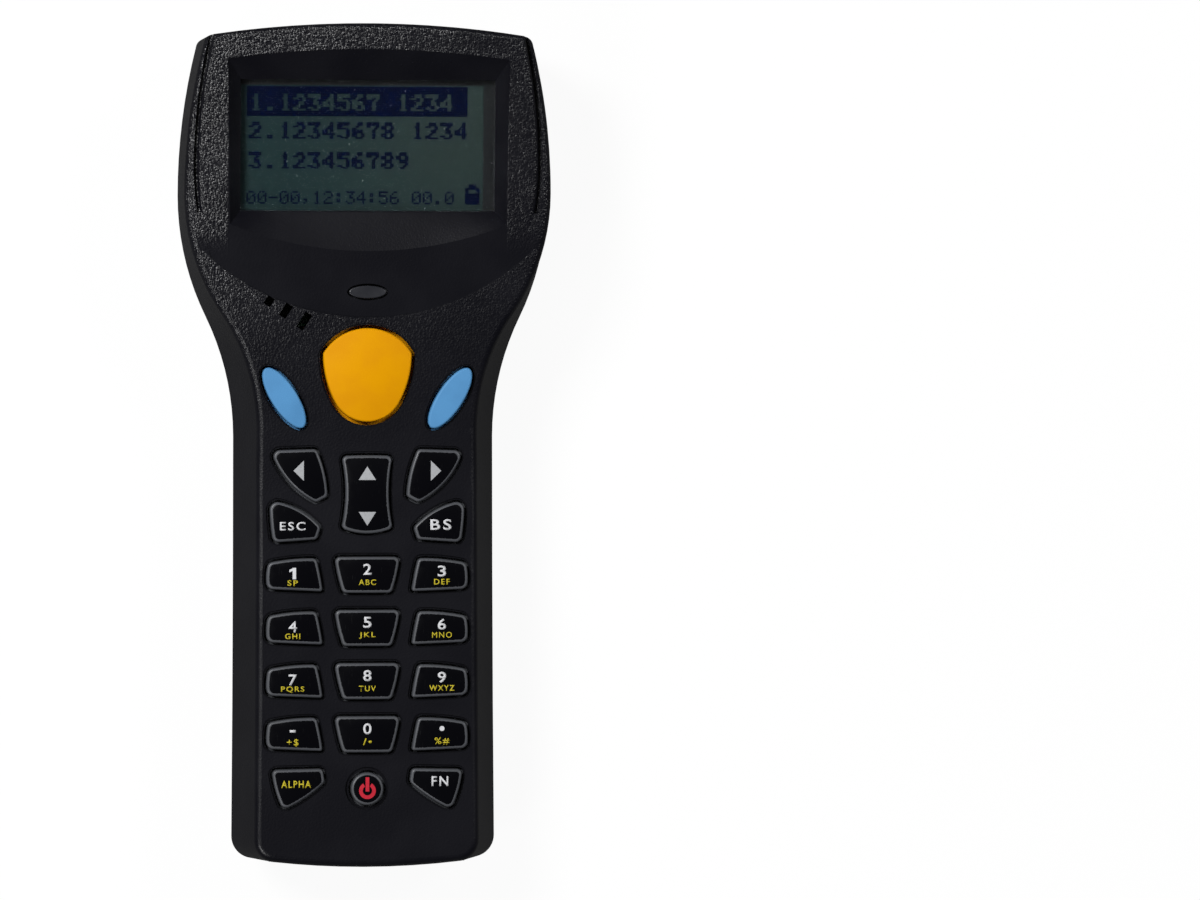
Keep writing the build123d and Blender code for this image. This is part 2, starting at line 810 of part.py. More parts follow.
with BuildPart() as rear_hollow:
    loft([rear_outline(floor_thickness, wall), rear_outline(parting_z, wall)], ruled=True)
    edge_x = track_half + track_side
    block((-edge_x, edge_x), (-past_end, cover_high_y + wall), (0, inner_floor_z), Mode.SUBTRACT)
    edge_x = bay_half + bay_wall
    block((-edge_x, edge_x), (bay_low_y - bay_wall, bay_high_y + bay_wall), (0, draw_z), Mode.SUBTRACT)
    edge_x = scan_half + scan_frame_side
    frame_top = scan_low_z + scan_height + scan_rim
    block((-edge_x, edge_x), (scan_frame_y, past_end), (0, frame_top), Mode.SUBTRACT)
    block((-end_block_half, end_block_half), (-past_end, end_block_y), (0, draw_z), Mode.SUBTRACT)
    pegs(case_screws_at, 0, case_boss, draw_z, Mode.SUBTRACT)
    pegs(chassis_pads_at, 0, chassis_pad_radius, chassis_z, Mode.SUBTRACT)
    cradle_x = (motor_x - cradle_half, motor_x + cradle_half)
    block(cradle_x, (motor_y, motor_end_y), (0, motor_z - motor_radius / 3), Mode.SUBTRACT)

with BuildPart() as cover_track:
    edge_x = cover_half + cover_play
    block((-edge_x, edge_x), (-past_end, cover_high_y + cover_play), (-1, track_z))
    block(
        (-track_half, track_half),
        (-past_end, cover_high_y - tongue_end_in + cover_play),
        (tongue_low_z - cover_play, tongue_low_z + tongue_height + cover_play),
    )

with BuildPart() as rear_case:
    add(rear_block.part)
    add(rear_hollow.part, mode=Mode.SUBTRACT)
    edge_x = bay_half + bay_wall
    edge_y = (bay_low_y - bay_wall, bay_high_y + bay_wall)
    bay_top = bay_ceiling + bay_wall
    block((-edge_x, edge_x), edge_y, (parting_z - wall, bay_top))
    block((-bay_half, bay_half), (bay_low_y, bay_high_y), (-1, bay_ceiling), Mode.SUBTRACT)
    add(cover_track.part, mode=Mode.SUBTRACT)
    for x in contacts_at:
        pin_half = contact_pin / 2 + fit
        pin_y = (bay_high_y - sheet - cover_play, bay_high_y + cover_play)
        block((x - pin_half, x + pin_half), pin_y, (bay_ceiling - 1, bay_top + 1), Mode.SUBTRACT)
    # seal groove in the rim
    with BuildSketch(Plane.XY.offset(parting_z - seal_depth)):
        add(raised(rear_outline(parting_z, seal_inset), -seal_depth))
        inner = seal_inset + seal_width
        add(raised(rear_outline(parting_z, inner), -seal_depth), mode=Mode.SUBTRACT)
    extrude(amount=seal_depth, mode=Mode.SUBTRACT)
    # case screws
    pegs(case_screws_at, -1, case_screw_radius + bore_play, draw_z, Mode.SUBTRACT)
    pegs(case_screws_at, -1, case_head_radius + bore_play, case_head_sink + 1, Mode.SUBTRACT)
    # motor cradle
    motor_bore = motor_radius + screw_play
    rod((motor_x, motor_y, motor_z), motor_bore, motor_length, Axis.Y, Mode.SUBTRACT)
    # port flap's pocket, hinge holes, nail notch and the port's opening
    pocket_half = flap_half + flap_play
    pocket_z = (flap_pivot_z - flap_height - flap_play, flap_pivot_z + flap_thickness / 2 + flap_play)
    block((-pocket_half, pocket_half), (-past_end, flap_seat_y), pocket_z, Mode.SUBTRACT)
    nail_y = (-past_end, flap_face_y + nail_depth)
    block((-nail_half, nail_half), nail_y, (pocket_z[0] - nail_depth, port_z), Mode.SUBTRACT)
    pin_start = (-pocket_half - flap_pin_overhang, flap_pivot_y, flap_pivot_z)
    rod(pin_start, flap_pin_radius + pin_fit, -2 * pin_start[0], Axis.X, Mode.SUBTRACT)
    opening_half = port_half + nose_play
    opening_z = (port_z - port_height / 2 - nose_play, port_z + port_height / 2 + nose_play)
    block((-opening_half, opening_half), (-past_end, end_block_y + 1), opening_z, Mode.SUBTRACT)
    # power jack and infrared window
    jack_start = (jack_x, -past_end, port_z)
    rod(jack_start, jack_nose + nose_play, past_end + jack_body_y, Axis.Y, Mode.SUBTRACT)
    with BuildSketch(Plane.XZ.offset(past_end)):
        with Locations((ir_x, port_z)):
            SlotOverall(ir_length + 2 * ir_play, ir_height + 2 * ir_play)
    extrude(amount=-(past_end + ir_face_y + 2 * wall), mode=Mode.SUBTRACT)
    # scan window's seat and opening
    with BuildSketch(Plane.XZ.offset(scan_thickness - scan_face_y)):
        with Locations((0, scan_low_z + scan_height / 2)):
            seat_height = scan_height + 2 * scan_play
            RectangleRounded(2 * (scan_half + scan_play), seat_height, scan_corner + scan_play)
    extrude(amount=-margin, mode=Mode.SUBTRACT)
    with BuildSketch(Plane.XZ.offset(-scan_frame_y)):
        with Locations((0, scan_low_z + scan_height / 2)):
            RectangleRounded(2 * (scan_half - scan_rim), scan_height - 2 * scan_rim, scan_corner)
    extrude(amount=-margin, mode=Mode.SUBTRACT)
finish(rear_case, "rear_case")

with BuildPart() as case_seal:
    with BuildSketch(Plane.XY.offset(parting_z - seal_depth)):
        add(raised(rear_outline(parting_z, seal_inset + seal_play), -seal_depth))
        inner = seal_inset + seal_width - seal_play
        add(raised(rear_outline(parting_z, inner), -seal_depth), mode=Mode.SUBTRACT)
    extrude(amount=seal_depth)
finish(case_seal, "case_seal")

# -------------------------------------------------------------------- case hardware
with BuildPart() as case_screws:
    pegs(case_screws_at, case_head_sink - case_head_height, case_head_radius, case_head_height)
    pegs(case_screws_at, case_head_sink, case_screw_radius, parting_z + insert_length - case_head_sink)
    with Locations(*[(x, y, case_head_sink - case_head_height) for x, y in case_screws_at]):
        Box(drive_slot, 2 * case_screw_radius, case_head_height, mode=Mode.SUBTRACT)
        Box(2 * case_screw_radius, drive_slot, case_head_height, mode=Mode.SUBTRACT)
finish(case_screws, "case_screws")

with BuildPart() as screw_inserts:
    pegs(case_screws_at, parting_z, insert_radius, insert_length)
    pegs(case_screws_at, parting_z, case_screw_radius + pin_fit, insert_length, Mode.SUBTRACT)
finish(screw_inserts, "screw_inserts")

with BuildPart() as board_screws:
    pegs(board_screws_at, board_z - board_head_height, board_screw_head, board_head_height)
    pegs(board_screws_at, board_z, board_screw_radius, board_thickness + board_screw_grip - fit)
    with Locations(*[(x, y, board_z - board_head_height) for x, y in board_screws_at]):
        Box(drive_slot, 2 * board_screw_radius, board_head_height, mode=Mode.SUBTRACT)
        Box(2 * board_screw_radius, drive_slot, board_head_height, mode=Mode.SUBTRACT)
finish(board_screws, "board_screws")

# -------------------------------------------------------------------------- battery
with BuildPart() as battery_cover:
    block((-cover_half, cover_half), (-past_end, cover_high_y), (0, cover_thickness))
    tongue_half = cover_half + tongue_reach
    tongue_z = (tongue_low_z, tongue_low_z + tongue_height)
    block((-tongue_half, tongue_half), (-past_end, cover_high_y - tongue_end_in), tongue_z)
    add(rear_block.part, mode=Mode.INTERSECT)
    with Locations((0, thumb_y, 0)):
        with GridLocations(1, thumb_pitch, 1, thumb_grooves):
            Box(thumb_length, thumb_pitch / 2, cover_thickness / 2, mode=Mode.SUBTRACT)
finish(battery_cover, "battery_cover")

with BuildPart() as battery_pack:
    block((-pack_half, pack_half), (pack_low_y, pack_high_y), (pack_z, pack_z + pack_height))
    fillet(battery_pack.edges().filter_by(Axis.Y), pack_edge)
finish(battery_pack, "battery_pack")

with BuildPart() as battery_contacts:
    for x in contacts_at:
        x_span = (x - contact_width / 2, x + contact_width / 2)
        leaf_y = bay_high_y - sheet
        block(x_span, (leaf_y, bay_high_y), (contact_z - contact_width, bay_ceiling))
        pad_z = (contact_z - contact_width / 2, contact_z + contact_width / 2)
        block(x_span, (leaf_y - sheet, leaf_y), pad_z)
        pin_x = (x - contact_pin / 2, x + contact_pin / 2)
        block(pin_x, (leaf_y, bay_high_y), (bay_ceiling, board_z))
finish(battery_contacts, "battery_contacts")

# ------------------------------------------------------------------------- grip end
with BuildPart() as dc_jack:
    rod((jack_x, jack_face_y, port_z), jack_nose, jack_body_y - jack_face_y + fit, Axis.Y)
    body_y = (jack_body_y, jack_body_y + jack_length)
    block((jack_x - jack_half, jack_x + jack_half), body_y, (inner_floor_z, port_z + jack_half))
    rod((jack_x, jack_face_y, port_z), jack_bore, jack_mouth, Axis.Y, Mode.SUBTRACT)
    chamber_depth = jack_bore_depth - jack_mouth
    chamber_start = (jack_x, jack_face_y + jack_mouth, port_z)
    rod(chamber_start, jack_chamber, chamber_depth, Axis.Y, Mode.SUBTRACT)
    rod((jack_x, jack_face_y + jack_pin_in, port_z), jack_pin, jack_bore_depth - jack_pin_in, Axis.Y)
finish(dc_jack, "dc_jack")

with BuildPart() as io_connector:
    port_z_span = (port_z - port_height / 2, port_z + port_height / 2)
    block((-port_half, port_half), (flap_seat_y, flap_seat_y + port_length), port_z_span)
    socket_half = port_half - port_wall
    socket_z = (port_z_span[0] + port_wall, port_z_span[1] - port_wall)
    block((-socket_half, socket_half), (flap_seat_y, flap_seat_y + port_depth), socket_z, Mode.SUBTRACT)
    for index in range(port_pins):
        pin_x = (index - (port_pins - 1) / 2) * 2 * socket_half / port_pins
        pin_y = flap_seat_y + port_depth - port_pin_length
        rod((pin_x, pin_y, port_z), port_pin_radius, port_pin_length, Axis.Y)
finish(io_connector, "io_connector")

with BuildPart() as port_flap:
    flap_y = (flap_face_y, flap_face_y + flap_thickness)
    block((-flap_half, flap_half), flap_y, (flap_pivot_z - flap_height, flap_pivot_z))
    fillet(port_flap.edges().filter_by(Axis.Y).group_by(Axis.Z)[0], flap_corner)
    rod((-flap_half, flap_pivot_y, flap_pivot_z), flap_thickness / 2, 2 * flap_half, Axis.X)
    bore = flap_pin_radius + pin_fit
    rod((-flap_half, flap_pivot_y, flap_pivot_z), bore, 2 * flap_half, Axis.X, Mode.SUBTRACT)
finish(port_flap, "port_flap")

with BuildPart() as flap_pin:
    pin_half = flap_half + flap_play + flap_pin_overhang - pin_fit
    rod((-pin_half, flap_pivot_y, flap_pivot_z), flap_pin_radius, 2 * pin_half, Axis.X)
finish(flap_pin, "flap_pin")

with BuildPart() as ir_window:
    with BuildSketch(Plane.XZ.offset(-ir_face_y)):
        with Locations((ir_x, port_z)):
            SlotOverall(ir_length, ir_height)
    extrude(amount=-wall)
finish(ir_window, "ir_window")

# -------------------------------------------------------------------------- scanner
with BuildPart() as scan_window:
    with BuildSketch(Plane.XZ.offset(scan_thickness - scan_face_y)):
        with Locations((0, scan_low_z + scan_height / 2)):
            RectangleRounded(2 * scan_half, scan_height, scan_corner)
    extrude(amount=-scan_thickness)
finish(scan_window, "scan_window")

with BuildPart() as scan_chassis:
    chassis_x = (-chassis_half, chassis_half)
    chassis_y = (chassis_low_y, chassis_high_y)
    inner_x = (chassis_wall - chassis_half, chassis_half - chassis_wall)
    block(chassis_x, chassis_y, (chassis_z, chassis_z + chassis_height))
    block(inner_x, (chassis_low_y + chassis_wall, past_end), (chassis_top, draw_z), Mode.SUBTRACT)
    cradle_x = (barrel_end_x + chassis_wall, barrel_end_x + barrel_length - chassis_wall)
    cradle_y = (mirror_y - barrel_radius, mirror_y + barrel_radius)
    block(cradle_x, cradle_y, (chassis_top, beam_z - barrel_radius / 3))
    rod((barrel_end_x, mirror_y, beam_z), barrel_radius + pin_fit, barrel_length, Axis.X, Mode.SUBTRACT)
    pegs([(mirror_x, mirror_y)], 0, mirror_pin_radius + pin_fit, chassis_top, Mode.SUBTRACT)
finish(scan_chassis, "scan_chassis")

with BuildPart() as laser_barrel:
    rod((barrel_end_x, mirror_y, beam_z), barrel_radius, barrel_length, Axis.X)
    muzzle_x = barrel_end_x + barrel_length - sheet
    rod((muzzle_x, mirror_y, beam_z), mirror_hub, sheet, Axis.X, Mode.SUBTRACT)
finish(laser_barrel, "laser_barrel")

with BuildPart() as mirror_pin:
    pegs([(mirror_x, mirror_y)], chassis_z, mirror_pin_radius, chassis_height - chassis_wall)
finish(mirror_pin, "mirror_pin")

with BuildPart() as scan_mirror:
    hub_low_z = chassis_top + flange_gap
    pegs([(mirror_x, mirror_y)], hub_low_z, mirror_hub, beam_z + mirror_height / 2 - hub_low_z)
    with Locations(Location((mirror_x, mirror_y, beam_z), (0, 0, 45))):
        with Locations((0, mirror_hub, 0)):
            Box(mirror_length, mirror_thickness, mirror_height)
    pegs([(mirror_x, mirror_y)], 0, mirror_pin_radius + mirror_play, draw_z, Mode.SUBTRACT)
finish(scan_mirror, "scan_mirror")

with BuildPart() as light_sensor:
    sensor_y = chassis_low_y + chassis_wall
    sensor_face_y = sensor_y + sensor_size / 2
    x_span = (sensor_x - sensor_size / 2, sensor_x + sensor_size / 2)
    block(x_span, (sensor_y, sensor_face_y), (chassis_top, beam_z + sensor_size / 2))
    rod((sensor_x, sensor_face_y, beam_z), sensor_size / 3, sensor_size / 4, Axis.Y)
finish(light_sensor, "light_sensor")

# -------------------------------------------------------------------------- display
with BuildPart() as lcd_window:
    flange_length = glass_opening_length + 2 * window_margin
    flange_height = glass_opening_height + 2 * window_margin
    with BuildSketch(plateau.offset(-pad_depth)):
        Rectangle(flange_length, flange_height)
    extrude(amount=-window_flange)
    with BuildSketch(plateau.offset(-pad_depth)):
        Rectangle(glass_opening_length - 2 * fit, glass_opening_height - 2 * fit)
    extrude(amount=lip - window_sink)
finish(lcd_window, "lcd_window")

glass_depth = pad_depth + window_flange + fit
backlight_depth = glass_depth + glass_thickness
with BuildPart() as lcd_glass:
    with BuildSketch(plateau.offset(-glass_depth)):
        Rectangle(glass_length, glass_height)
    extrude(amount=-glass_thickness)
finish(lcd_glass, "lcd_glass")

with BuildPart() as lcd_backlight:
    with BuildSketch(plateau.offset(-backlight_depth)):
        Rectangle(backlight_length, backlight_height)
    extrude(amount=-backlight_thickness)
finish(lcd_backlight, "lcd_backlight")

with BuildPart() as lcd_holder:
    with BuildSketch(plateau.offset(-glass_depth)):
        Rectangle(glass_length + 2 * (fit + holder_wall), glass_height + 2 * (fit + holder_wall))
    extrude(amount=-margin)
    pegs(case_screws_at, 0, case_boss + bore_play, 2 * draw_z, Mode.SUBTRACT)
    split(bisect_by=Plane.XY.offset(board_top), keep=Keep.TOP)
    with BuildSketch(plateau.offset(-glass_depth)):
        Rectangle(glass_length + 2 * fit, glass_height + 2 * fit)
    extrude(amount=-glass_thickness, mode=Mode.SUBTRACT)
    with BuildSketch(plateau.offset(-backlight_depth)):
        Rectangle(backlight_length + 2 * fit, backlight_height + 2 * fit)
    extrude(amount=-backlight_thickness, mode=Mode.SUBTRACT)
    with BuildSketch(plateau.offset(-backlight_depth)):
        Rectangle(backlight_length - 2 * holder_ledge, backlight_height - 2 * holder_ledge)
    extrude(amount=-margin, mode=Mode.SUBTRACT)
    with BuildSketch(plateau.offset(-glass_depth)):
        with Locations((0, -glass_height / 2)):
            Rectangle(cable_width + 2 * fit, 4 * holder_wall)
    extrude(amount=-glass_thickness, mode=Mode.SUBTRACT)
finish(lcd_holder, "lcd_holder")

# ---------------------------------------------------------------------- flat cables
glass_edge = plateau.from_local_coords((0, -glass_height / 2, -glass_depth - glass_thickness / 2))
cable_turn_y = glass_edge.Y - cable_reach
board_cable_z = board_top + sheet / 2
scan_cable_y = chassis_low_y - cable_reach
with BuildPart() as flat_cables:
    with BuildSketch(Plane.YZ) as display_cable:
        with BuildLine():
            FilletPolyline(
                (glass_edge.Y - sheet / 2, glass_edge.Z),
                (cable_turn_y, glass_edge.Z),
                (cable_turn_y, board_cable_z),
                (cable_turn_y - cable_reach, board_cable_z),
                radius=3 * sheet,
            )
        trace(line_width=sheet)
    extrude(amount=cable_width / 2, both=True)
    with BuildSketch(Plane.YZ) as scan_cable:
        with BuildLine():
            FilletPolyline(
                (chassis_low_y, beam_z),
                (scan_cable_y, beam_z),
                (scan_cable_y, board_z - sheet / 2),
                (scan_cable_y - cable_reach, board_z - sheet / 2),
                radius=3 * sheet,
            )
        trace(line_width=sheet)
    extrude(amount=scan_cable_width / 2, both=True)
finish(flat_cables, "flat_cables")

# ------------------------------------------------------------------- lens and sound
with BuildPart() as indicator_lens:
    lens_flange_z = face_height(lens_y - lens_height, wall) - fit
    with BuildSketch(Plane.XY.offset(lens_flange_z - lens_flange)):
        with Locations((0, lens_y)):
            lens_reach = lens_gap + flange_reach
            Ellipse(lens_length / 2 + lens_reach, lens_height / 2 + lens_reach)
    extrude(amount=lens_flange)
    with BuildSketch(Plane.XY.offset(lens_flange_z)):
        with Locations((0, lens_y)):
            Ellipse(lens_length / 2, lens_height / 2)
    extrude(amount=plateau_height(lens_y) - lens_flange_z)
    fillet(indicator_lens.faces().sort_by(Axis.Z)[-1].edges(), fit)
    pegs([(0, lens_y)], led_top + fit, light_pipe_radius, lens_flange_z - led_top - fit)
finish(indicator_lens, "indicator_lens")

with BuildPart() as beeper:
    pegs([(beeper_x, beeper_y)], board_top, beeper_radius, beeper_height)
    pegs([(beeper_x, beeper_y)], board_top + beeper_height / 2, beeper_port, draw_z, Mode.SUBTRACT)
finish(beeper, "beeper")

# ----------------------------------------------------------------- boards and mat
with BuildPart() as main_board:
    board_plan = front_outline(board_top, wall + board_side_gap)
    extrude(raised(board_plan, -board_thickness), amount=board_thickness)
    board_end = half_length - board_end_in
    block((-head_half, head_half), (-board_end, board_end), (board_z, board_top), Mode.INTERSECT)
    pegs(case_screws_at, 0, case_boss + bore_play, draw_z, Mode.SUBTRACT)
    pegs(board_screws_at, 0, board_screw_radius + screw_play, draw_z, Mode.SUBTRACT)
finish(main_board, "main_board")

with BuildPart() as board_chips:
    for x, y, x_size, y_size, height in chips:
        x_span = (x - x_size / 2, x + x_size / 2)
        block(x_span, (y - y_size / 2, y + y_size / 2), (board_z - height, board_z))
    led_y = (lens_y - led_width / 2, lens_y + led_width / 2)
    block((-led_length / 2, led_length / 2), led_y, (board_top, led_top))
finish(board_chips, "board_chips")

with BuildPart() as shield_can:
    can_x = (shield_x - shield_length / 2, shield_x + shield_length / 2)
    can_y = (shield_y - shield_width / 2, shield_y + shield_width / 2)
    block(can_x, can_y, (board_z - shield_height, board_z))
    inner_x = (can_x[0] + sheet, can_x[1] - sheet)
    inner_y = (can_y[0] + sheet, can_y[1] - sheet)
    block(inner_x, inner_y, (board_z - shield_height + sheet, board_z), Mode.SUBTRACT)
finish(shield_can, "shield_can")

with BuildPart() as keypad_mat:
    block((-mat_half, mat_half), (mat_low_y, mat_high_y), (board_top, mat_top))
    pegs(post_points, board_top, post_radius + post_play, mat_top, Mode.SUBTRACT)
    pegs(post_points, board_top, dome_radius + fit, dome_height + fit, Mode.SUBTRACT)
finish(keypad_mat, "keypad_mat")

with BuildPart() as snap_domes:
    with Locations(*[(x, y, board_top) for x, y in post_points]):
        Cone(dome_radius, post_radius, dome_height, align=(Align.CENTER, Align.CENTER, Align.MIN))
finish(snap_domes, "snap_domes")

with BuildPart() as coin_cell:
    cell_z = board_z - cell_height - cell_wall
    pegs([(cell_x, cell_y)], cell_z, cell_radius + cell_wall, cell_height + cell_wall)
    pegs([(cell_x, cell_y)], cell_z, cell_radius + screw_play, cell_height + screw_play, Mode.SUBTRACT)
    pegs([(cell_x, cell_y)], cell_z, cell_radius, cell_height)
finish(coin_cell, "coin_cell")

# -------------------------------------------------------------------- vibration motor
with BuildPart() as vibration_motor:
    rod((motor_x, motor_y, motor_z), motor_radius, motor_length, Axis.Y)
    rod((motor_x, motor_end_y, motor_z), motor_shaft, motor_shaft_length, Axis.Y)
finish(vibration_motor, "vibration_motor")

with BuildPart() as motor_weight:
    weight_y = motor_end_y + weight_gap
    rod((motor_x, weight_y, motor_z), weight_radius, weight_length, Axis.Y)
    hub_z = motor_z + 2 * motor_shaft
    block((motor_x - margin, motor_x + margin), (weight_y - 1, past_end), (hub_z, draw_z), Mode.SUBTRACT)
    weight_bore = motor_shaft + weight_play
    rod((motor_x, weight_y - 1, motor_z), weight_bore, weight_length + 2, Axis.Y, Mode.SUBTRACT)
finish(motor_weight, "motor_weight")


# ------------------------------------------------------------------------------ keys
def build_key(key):
    """Domed cap through the case, flange under the case and a post over each snap dome."""
    x, y = key.middle
    top_z = face_height(y) + key.rise
    lean = atan((face_height(y + 1) - face_height(y - 1)) / 2)
    swings = len(key.posts) > 1
    low_z = flange_low_z - rocker_drop if swings else flange_low_z
    with BuildPart() as flange:
        extrude(raised(key.outline(key.gap + flange_reach), low_z), amount=key_flange)
        block((-flange_half, flange_half), (-past_end, past_end), (0, draw_z), Mode.INTERSECT)
    with BuildPart() as cap:
        extrude(raised(key.outline(), low_z), amount=top_z + key.rise - low_z)
        with Locations((x, y + key.crown * sin(lean), top_z - key.crown * cos(lean))):
            Sphere(key.crown, rotation=(90, 0, 0), mode=Mode.INTERSECT)
        fillet(cap.faces().sort_by(Axis.Z)[-1].edges(), key_edge)
        add(flange.part)
        pegs(key.posts, post_low_z, post_radius, low_z - post_low_z)
    return cap


rocker_reach = abs(rocker_corners[2][1] - rocker_corners[1][1]) / 2 + rocker_corners[2][3]
rocker_drop = (rocker_reach + key_gap + flange_reach) * tan(radians(rocker_swing))
for key in keys:
    finish(build_key(key), key.name)
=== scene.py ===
"""Looks of a handheld barcode data terminal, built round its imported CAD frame. Metres, Z up."""

import json
import logging
from collections.abc import Callable
from dataclasses import dataclass, field
from enum import Enum
from math import atan, cos, hypot, radians, sin

import bpy
from mathutils import Euler, Matrix, Vector


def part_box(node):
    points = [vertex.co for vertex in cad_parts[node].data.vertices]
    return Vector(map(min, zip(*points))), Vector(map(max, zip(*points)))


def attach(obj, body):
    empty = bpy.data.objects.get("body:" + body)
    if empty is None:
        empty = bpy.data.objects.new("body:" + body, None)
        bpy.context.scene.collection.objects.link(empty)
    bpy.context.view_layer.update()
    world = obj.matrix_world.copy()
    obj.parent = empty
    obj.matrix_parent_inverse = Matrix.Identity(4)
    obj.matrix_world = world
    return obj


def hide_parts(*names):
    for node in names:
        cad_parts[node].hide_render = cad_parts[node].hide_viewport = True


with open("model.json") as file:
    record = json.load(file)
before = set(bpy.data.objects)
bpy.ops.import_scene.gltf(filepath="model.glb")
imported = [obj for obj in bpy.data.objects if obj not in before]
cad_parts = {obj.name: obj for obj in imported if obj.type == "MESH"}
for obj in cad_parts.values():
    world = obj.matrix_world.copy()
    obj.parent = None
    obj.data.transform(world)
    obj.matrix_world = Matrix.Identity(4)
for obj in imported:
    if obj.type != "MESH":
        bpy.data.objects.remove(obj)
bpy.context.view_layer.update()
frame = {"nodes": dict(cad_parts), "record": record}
MM = 0.001
LOG = logging.getLogger("data_terminal")

Piece = bpy.types.Object
Node = bpy.types.Node
Socket = bpy.types.NodeSocket
Tree = bpy.types.NodeTree
Face = bpy.types.MeshPolygon
Edge = bpy.types.MeshEdge
Part = Face | Edge
Pair = tuple[float, float]
Triple = tuple[float, float, float]
Cell = tuple[int, int]


# ---------------------------------------- small helpers
def linear(hex_colour: str) -> tuple[float, float, float, float]:
    """Turns an sRGB hex colour into the linear one that a shader takes.

    Args:
        hex_colour: Six hex digits after a hash sign.

    Returns:
        Red, green, blue and an alpha of 1.
    """
    parts = [int(hex_colour[place : place + 2], 16) / 255 for place in (1, 3, 5)]
    levels = [c / 12.92 if c <= 0.04045 else ((c + 0.055) / 1.055) ** 2.4 for c in parts]
    return (*levels, 1.0)


def metres(*sizes_mm: float) -> list[float]:
    """Turns sizes in millimetres into metres."""
    return [size * MM for size in sizes_mm]


def per(size_mm: float) -> float:
    """Texture scale at which a pattern repeats about every size_mm, on coordinates in metres."""
    return 1 / (size_mm * MM)


def add_node(tree: Tree, kind: str, inputs: dict | None = None, **settings: object) -> Node:
    """Adds a shader node with its settings and links.

    Args:
        tree: The material's or world's node tree.
        kind: Name of the node's type after ShaderNode.
        inputs: For each input's name or number, a value, or an output to link to it.
        settings: Values of the node's own properties.

    Returns:
        The new node.
    """
    node = tree.nodes.new("ShaderNode" + kind)
    for name, value in settings.items():
        setattr(node, name, value)
    for name, value in (inputs or {}).items():
        if isinstance(value, Socket):
            tree.links.new(value, node.inputs[name])
        else:
            node.inputs[name].default_value = value
    return node


def to_mode(mode: str) -> None:
    """Switches the active piece to edit or object mode."""
    bpy.ops.object.mode_set(mode=mode)


def pick_all(action: str) -> None:
    """Selects or deselects all of the mesh that is edited, or inverts its selection."""
    bpy.ops.mesh.select_all(action=action)


def cut_away() -> None:
    """Deletes the selected faces."""
    bpy.ops.mesh.delete(type="FACE")


def let_go() -> None:
    """Deselects everything and leaves edit mode, ready for the next operator."""
    if bpy.context.mode != "OBJECT":
        to_mode("OBJECT")
    bpy.ops.object.select_all(action="DESELECT")


def take_up(piece: Piece) -> None:
    """Makes one piece the active and only selected one.

    Args:
        piece: The piece.
    """
    let_go()
    piece.select_set(True)
    bpy.context.view_layer.objects.active = piece


def select(piece: Piece, kind: str, wanted: Callable[[Part], bool]) -> None:
    """Goes into edit mode with just some faces or edges of a piece selected.

    Args:
        piece: The piece.
        kind: FACE or EDGE.
        wanted: Says whether one of them is to be selected.
    """
    take_up(piece)
    to_mode("EDIT")
    bpy.ops.mesh.select_mode(type=kind)
    pick_all("DESELECT")
    to_mode("OBJECT")
    for part in piece.data.polygons if kind == "FACE" else piece.data.edges:
        part.select = wanted(part)
    to_mode("EDIT")


def modify(piece: Piece, kind: str, **settings: object) -> None:
    """Adds a modifier to a piece and applies it.

    Args:
        piece: The piece.
        kind: The modifier's type.
        settings: Values of its properties.
    """
    take_up(piece)
    modifier = piece.modifiers.new(kind.title(), kind)
    for name, value in settings.items():
        setattr(modifier, name, value)
    bpy.ops.object.modifier_apply(modifier=modifier.name)


def settle(piece: Piece, place: Matrix | None = None) -> None:
    """Moves a piece to its place and applies that to its mesh, so that its object is at the origin.

    Args:
        piece: The piece, at the place and size it was made at.
        place: Where its own axes go, or nothing where it is in place.
    """
    take_up(piece)
    bpy.context.view_layer.update()
    if place is not None:
        piece.matrix_world = place @ piece.matrix_world
    bpy.ops.object.transform_apply(location=True, rotation=True, scale=True)


def hand_over(piece: Piece, name: str, body: str, finish: "Finish") -> None:
    """Names a finished piece, dresses it and makes it ride.

    Args:
        piece: The finished piece.
        name: Its name.
        body: The CAD body that it moves with.
        finish: What it is made of.
    """
    let_go()
    piece.name = name
    piece.data.name = name
    dress(piece, finish)
    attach(piece, body)
    LOG.info("%s: %d faces, %s, on %s", name, len(piece.data.polygons), finish.name, body)


def dress(piece: Piece, finish: "Finish") -> None:
    """Gives the whole of a piece one finish."""
    piece.data.materials.clear()
    piece.data.materials.append(finish.material())


# ---------------------------------------- patterns
@dataclass(frozen=True)
class Clouds:
    """A noise: size of its blotches in millimetres, octaves, and where it starts and is full."""

    size: float
    fine: float = 2.0
    start: float = 0.0
    full: float = 1.0


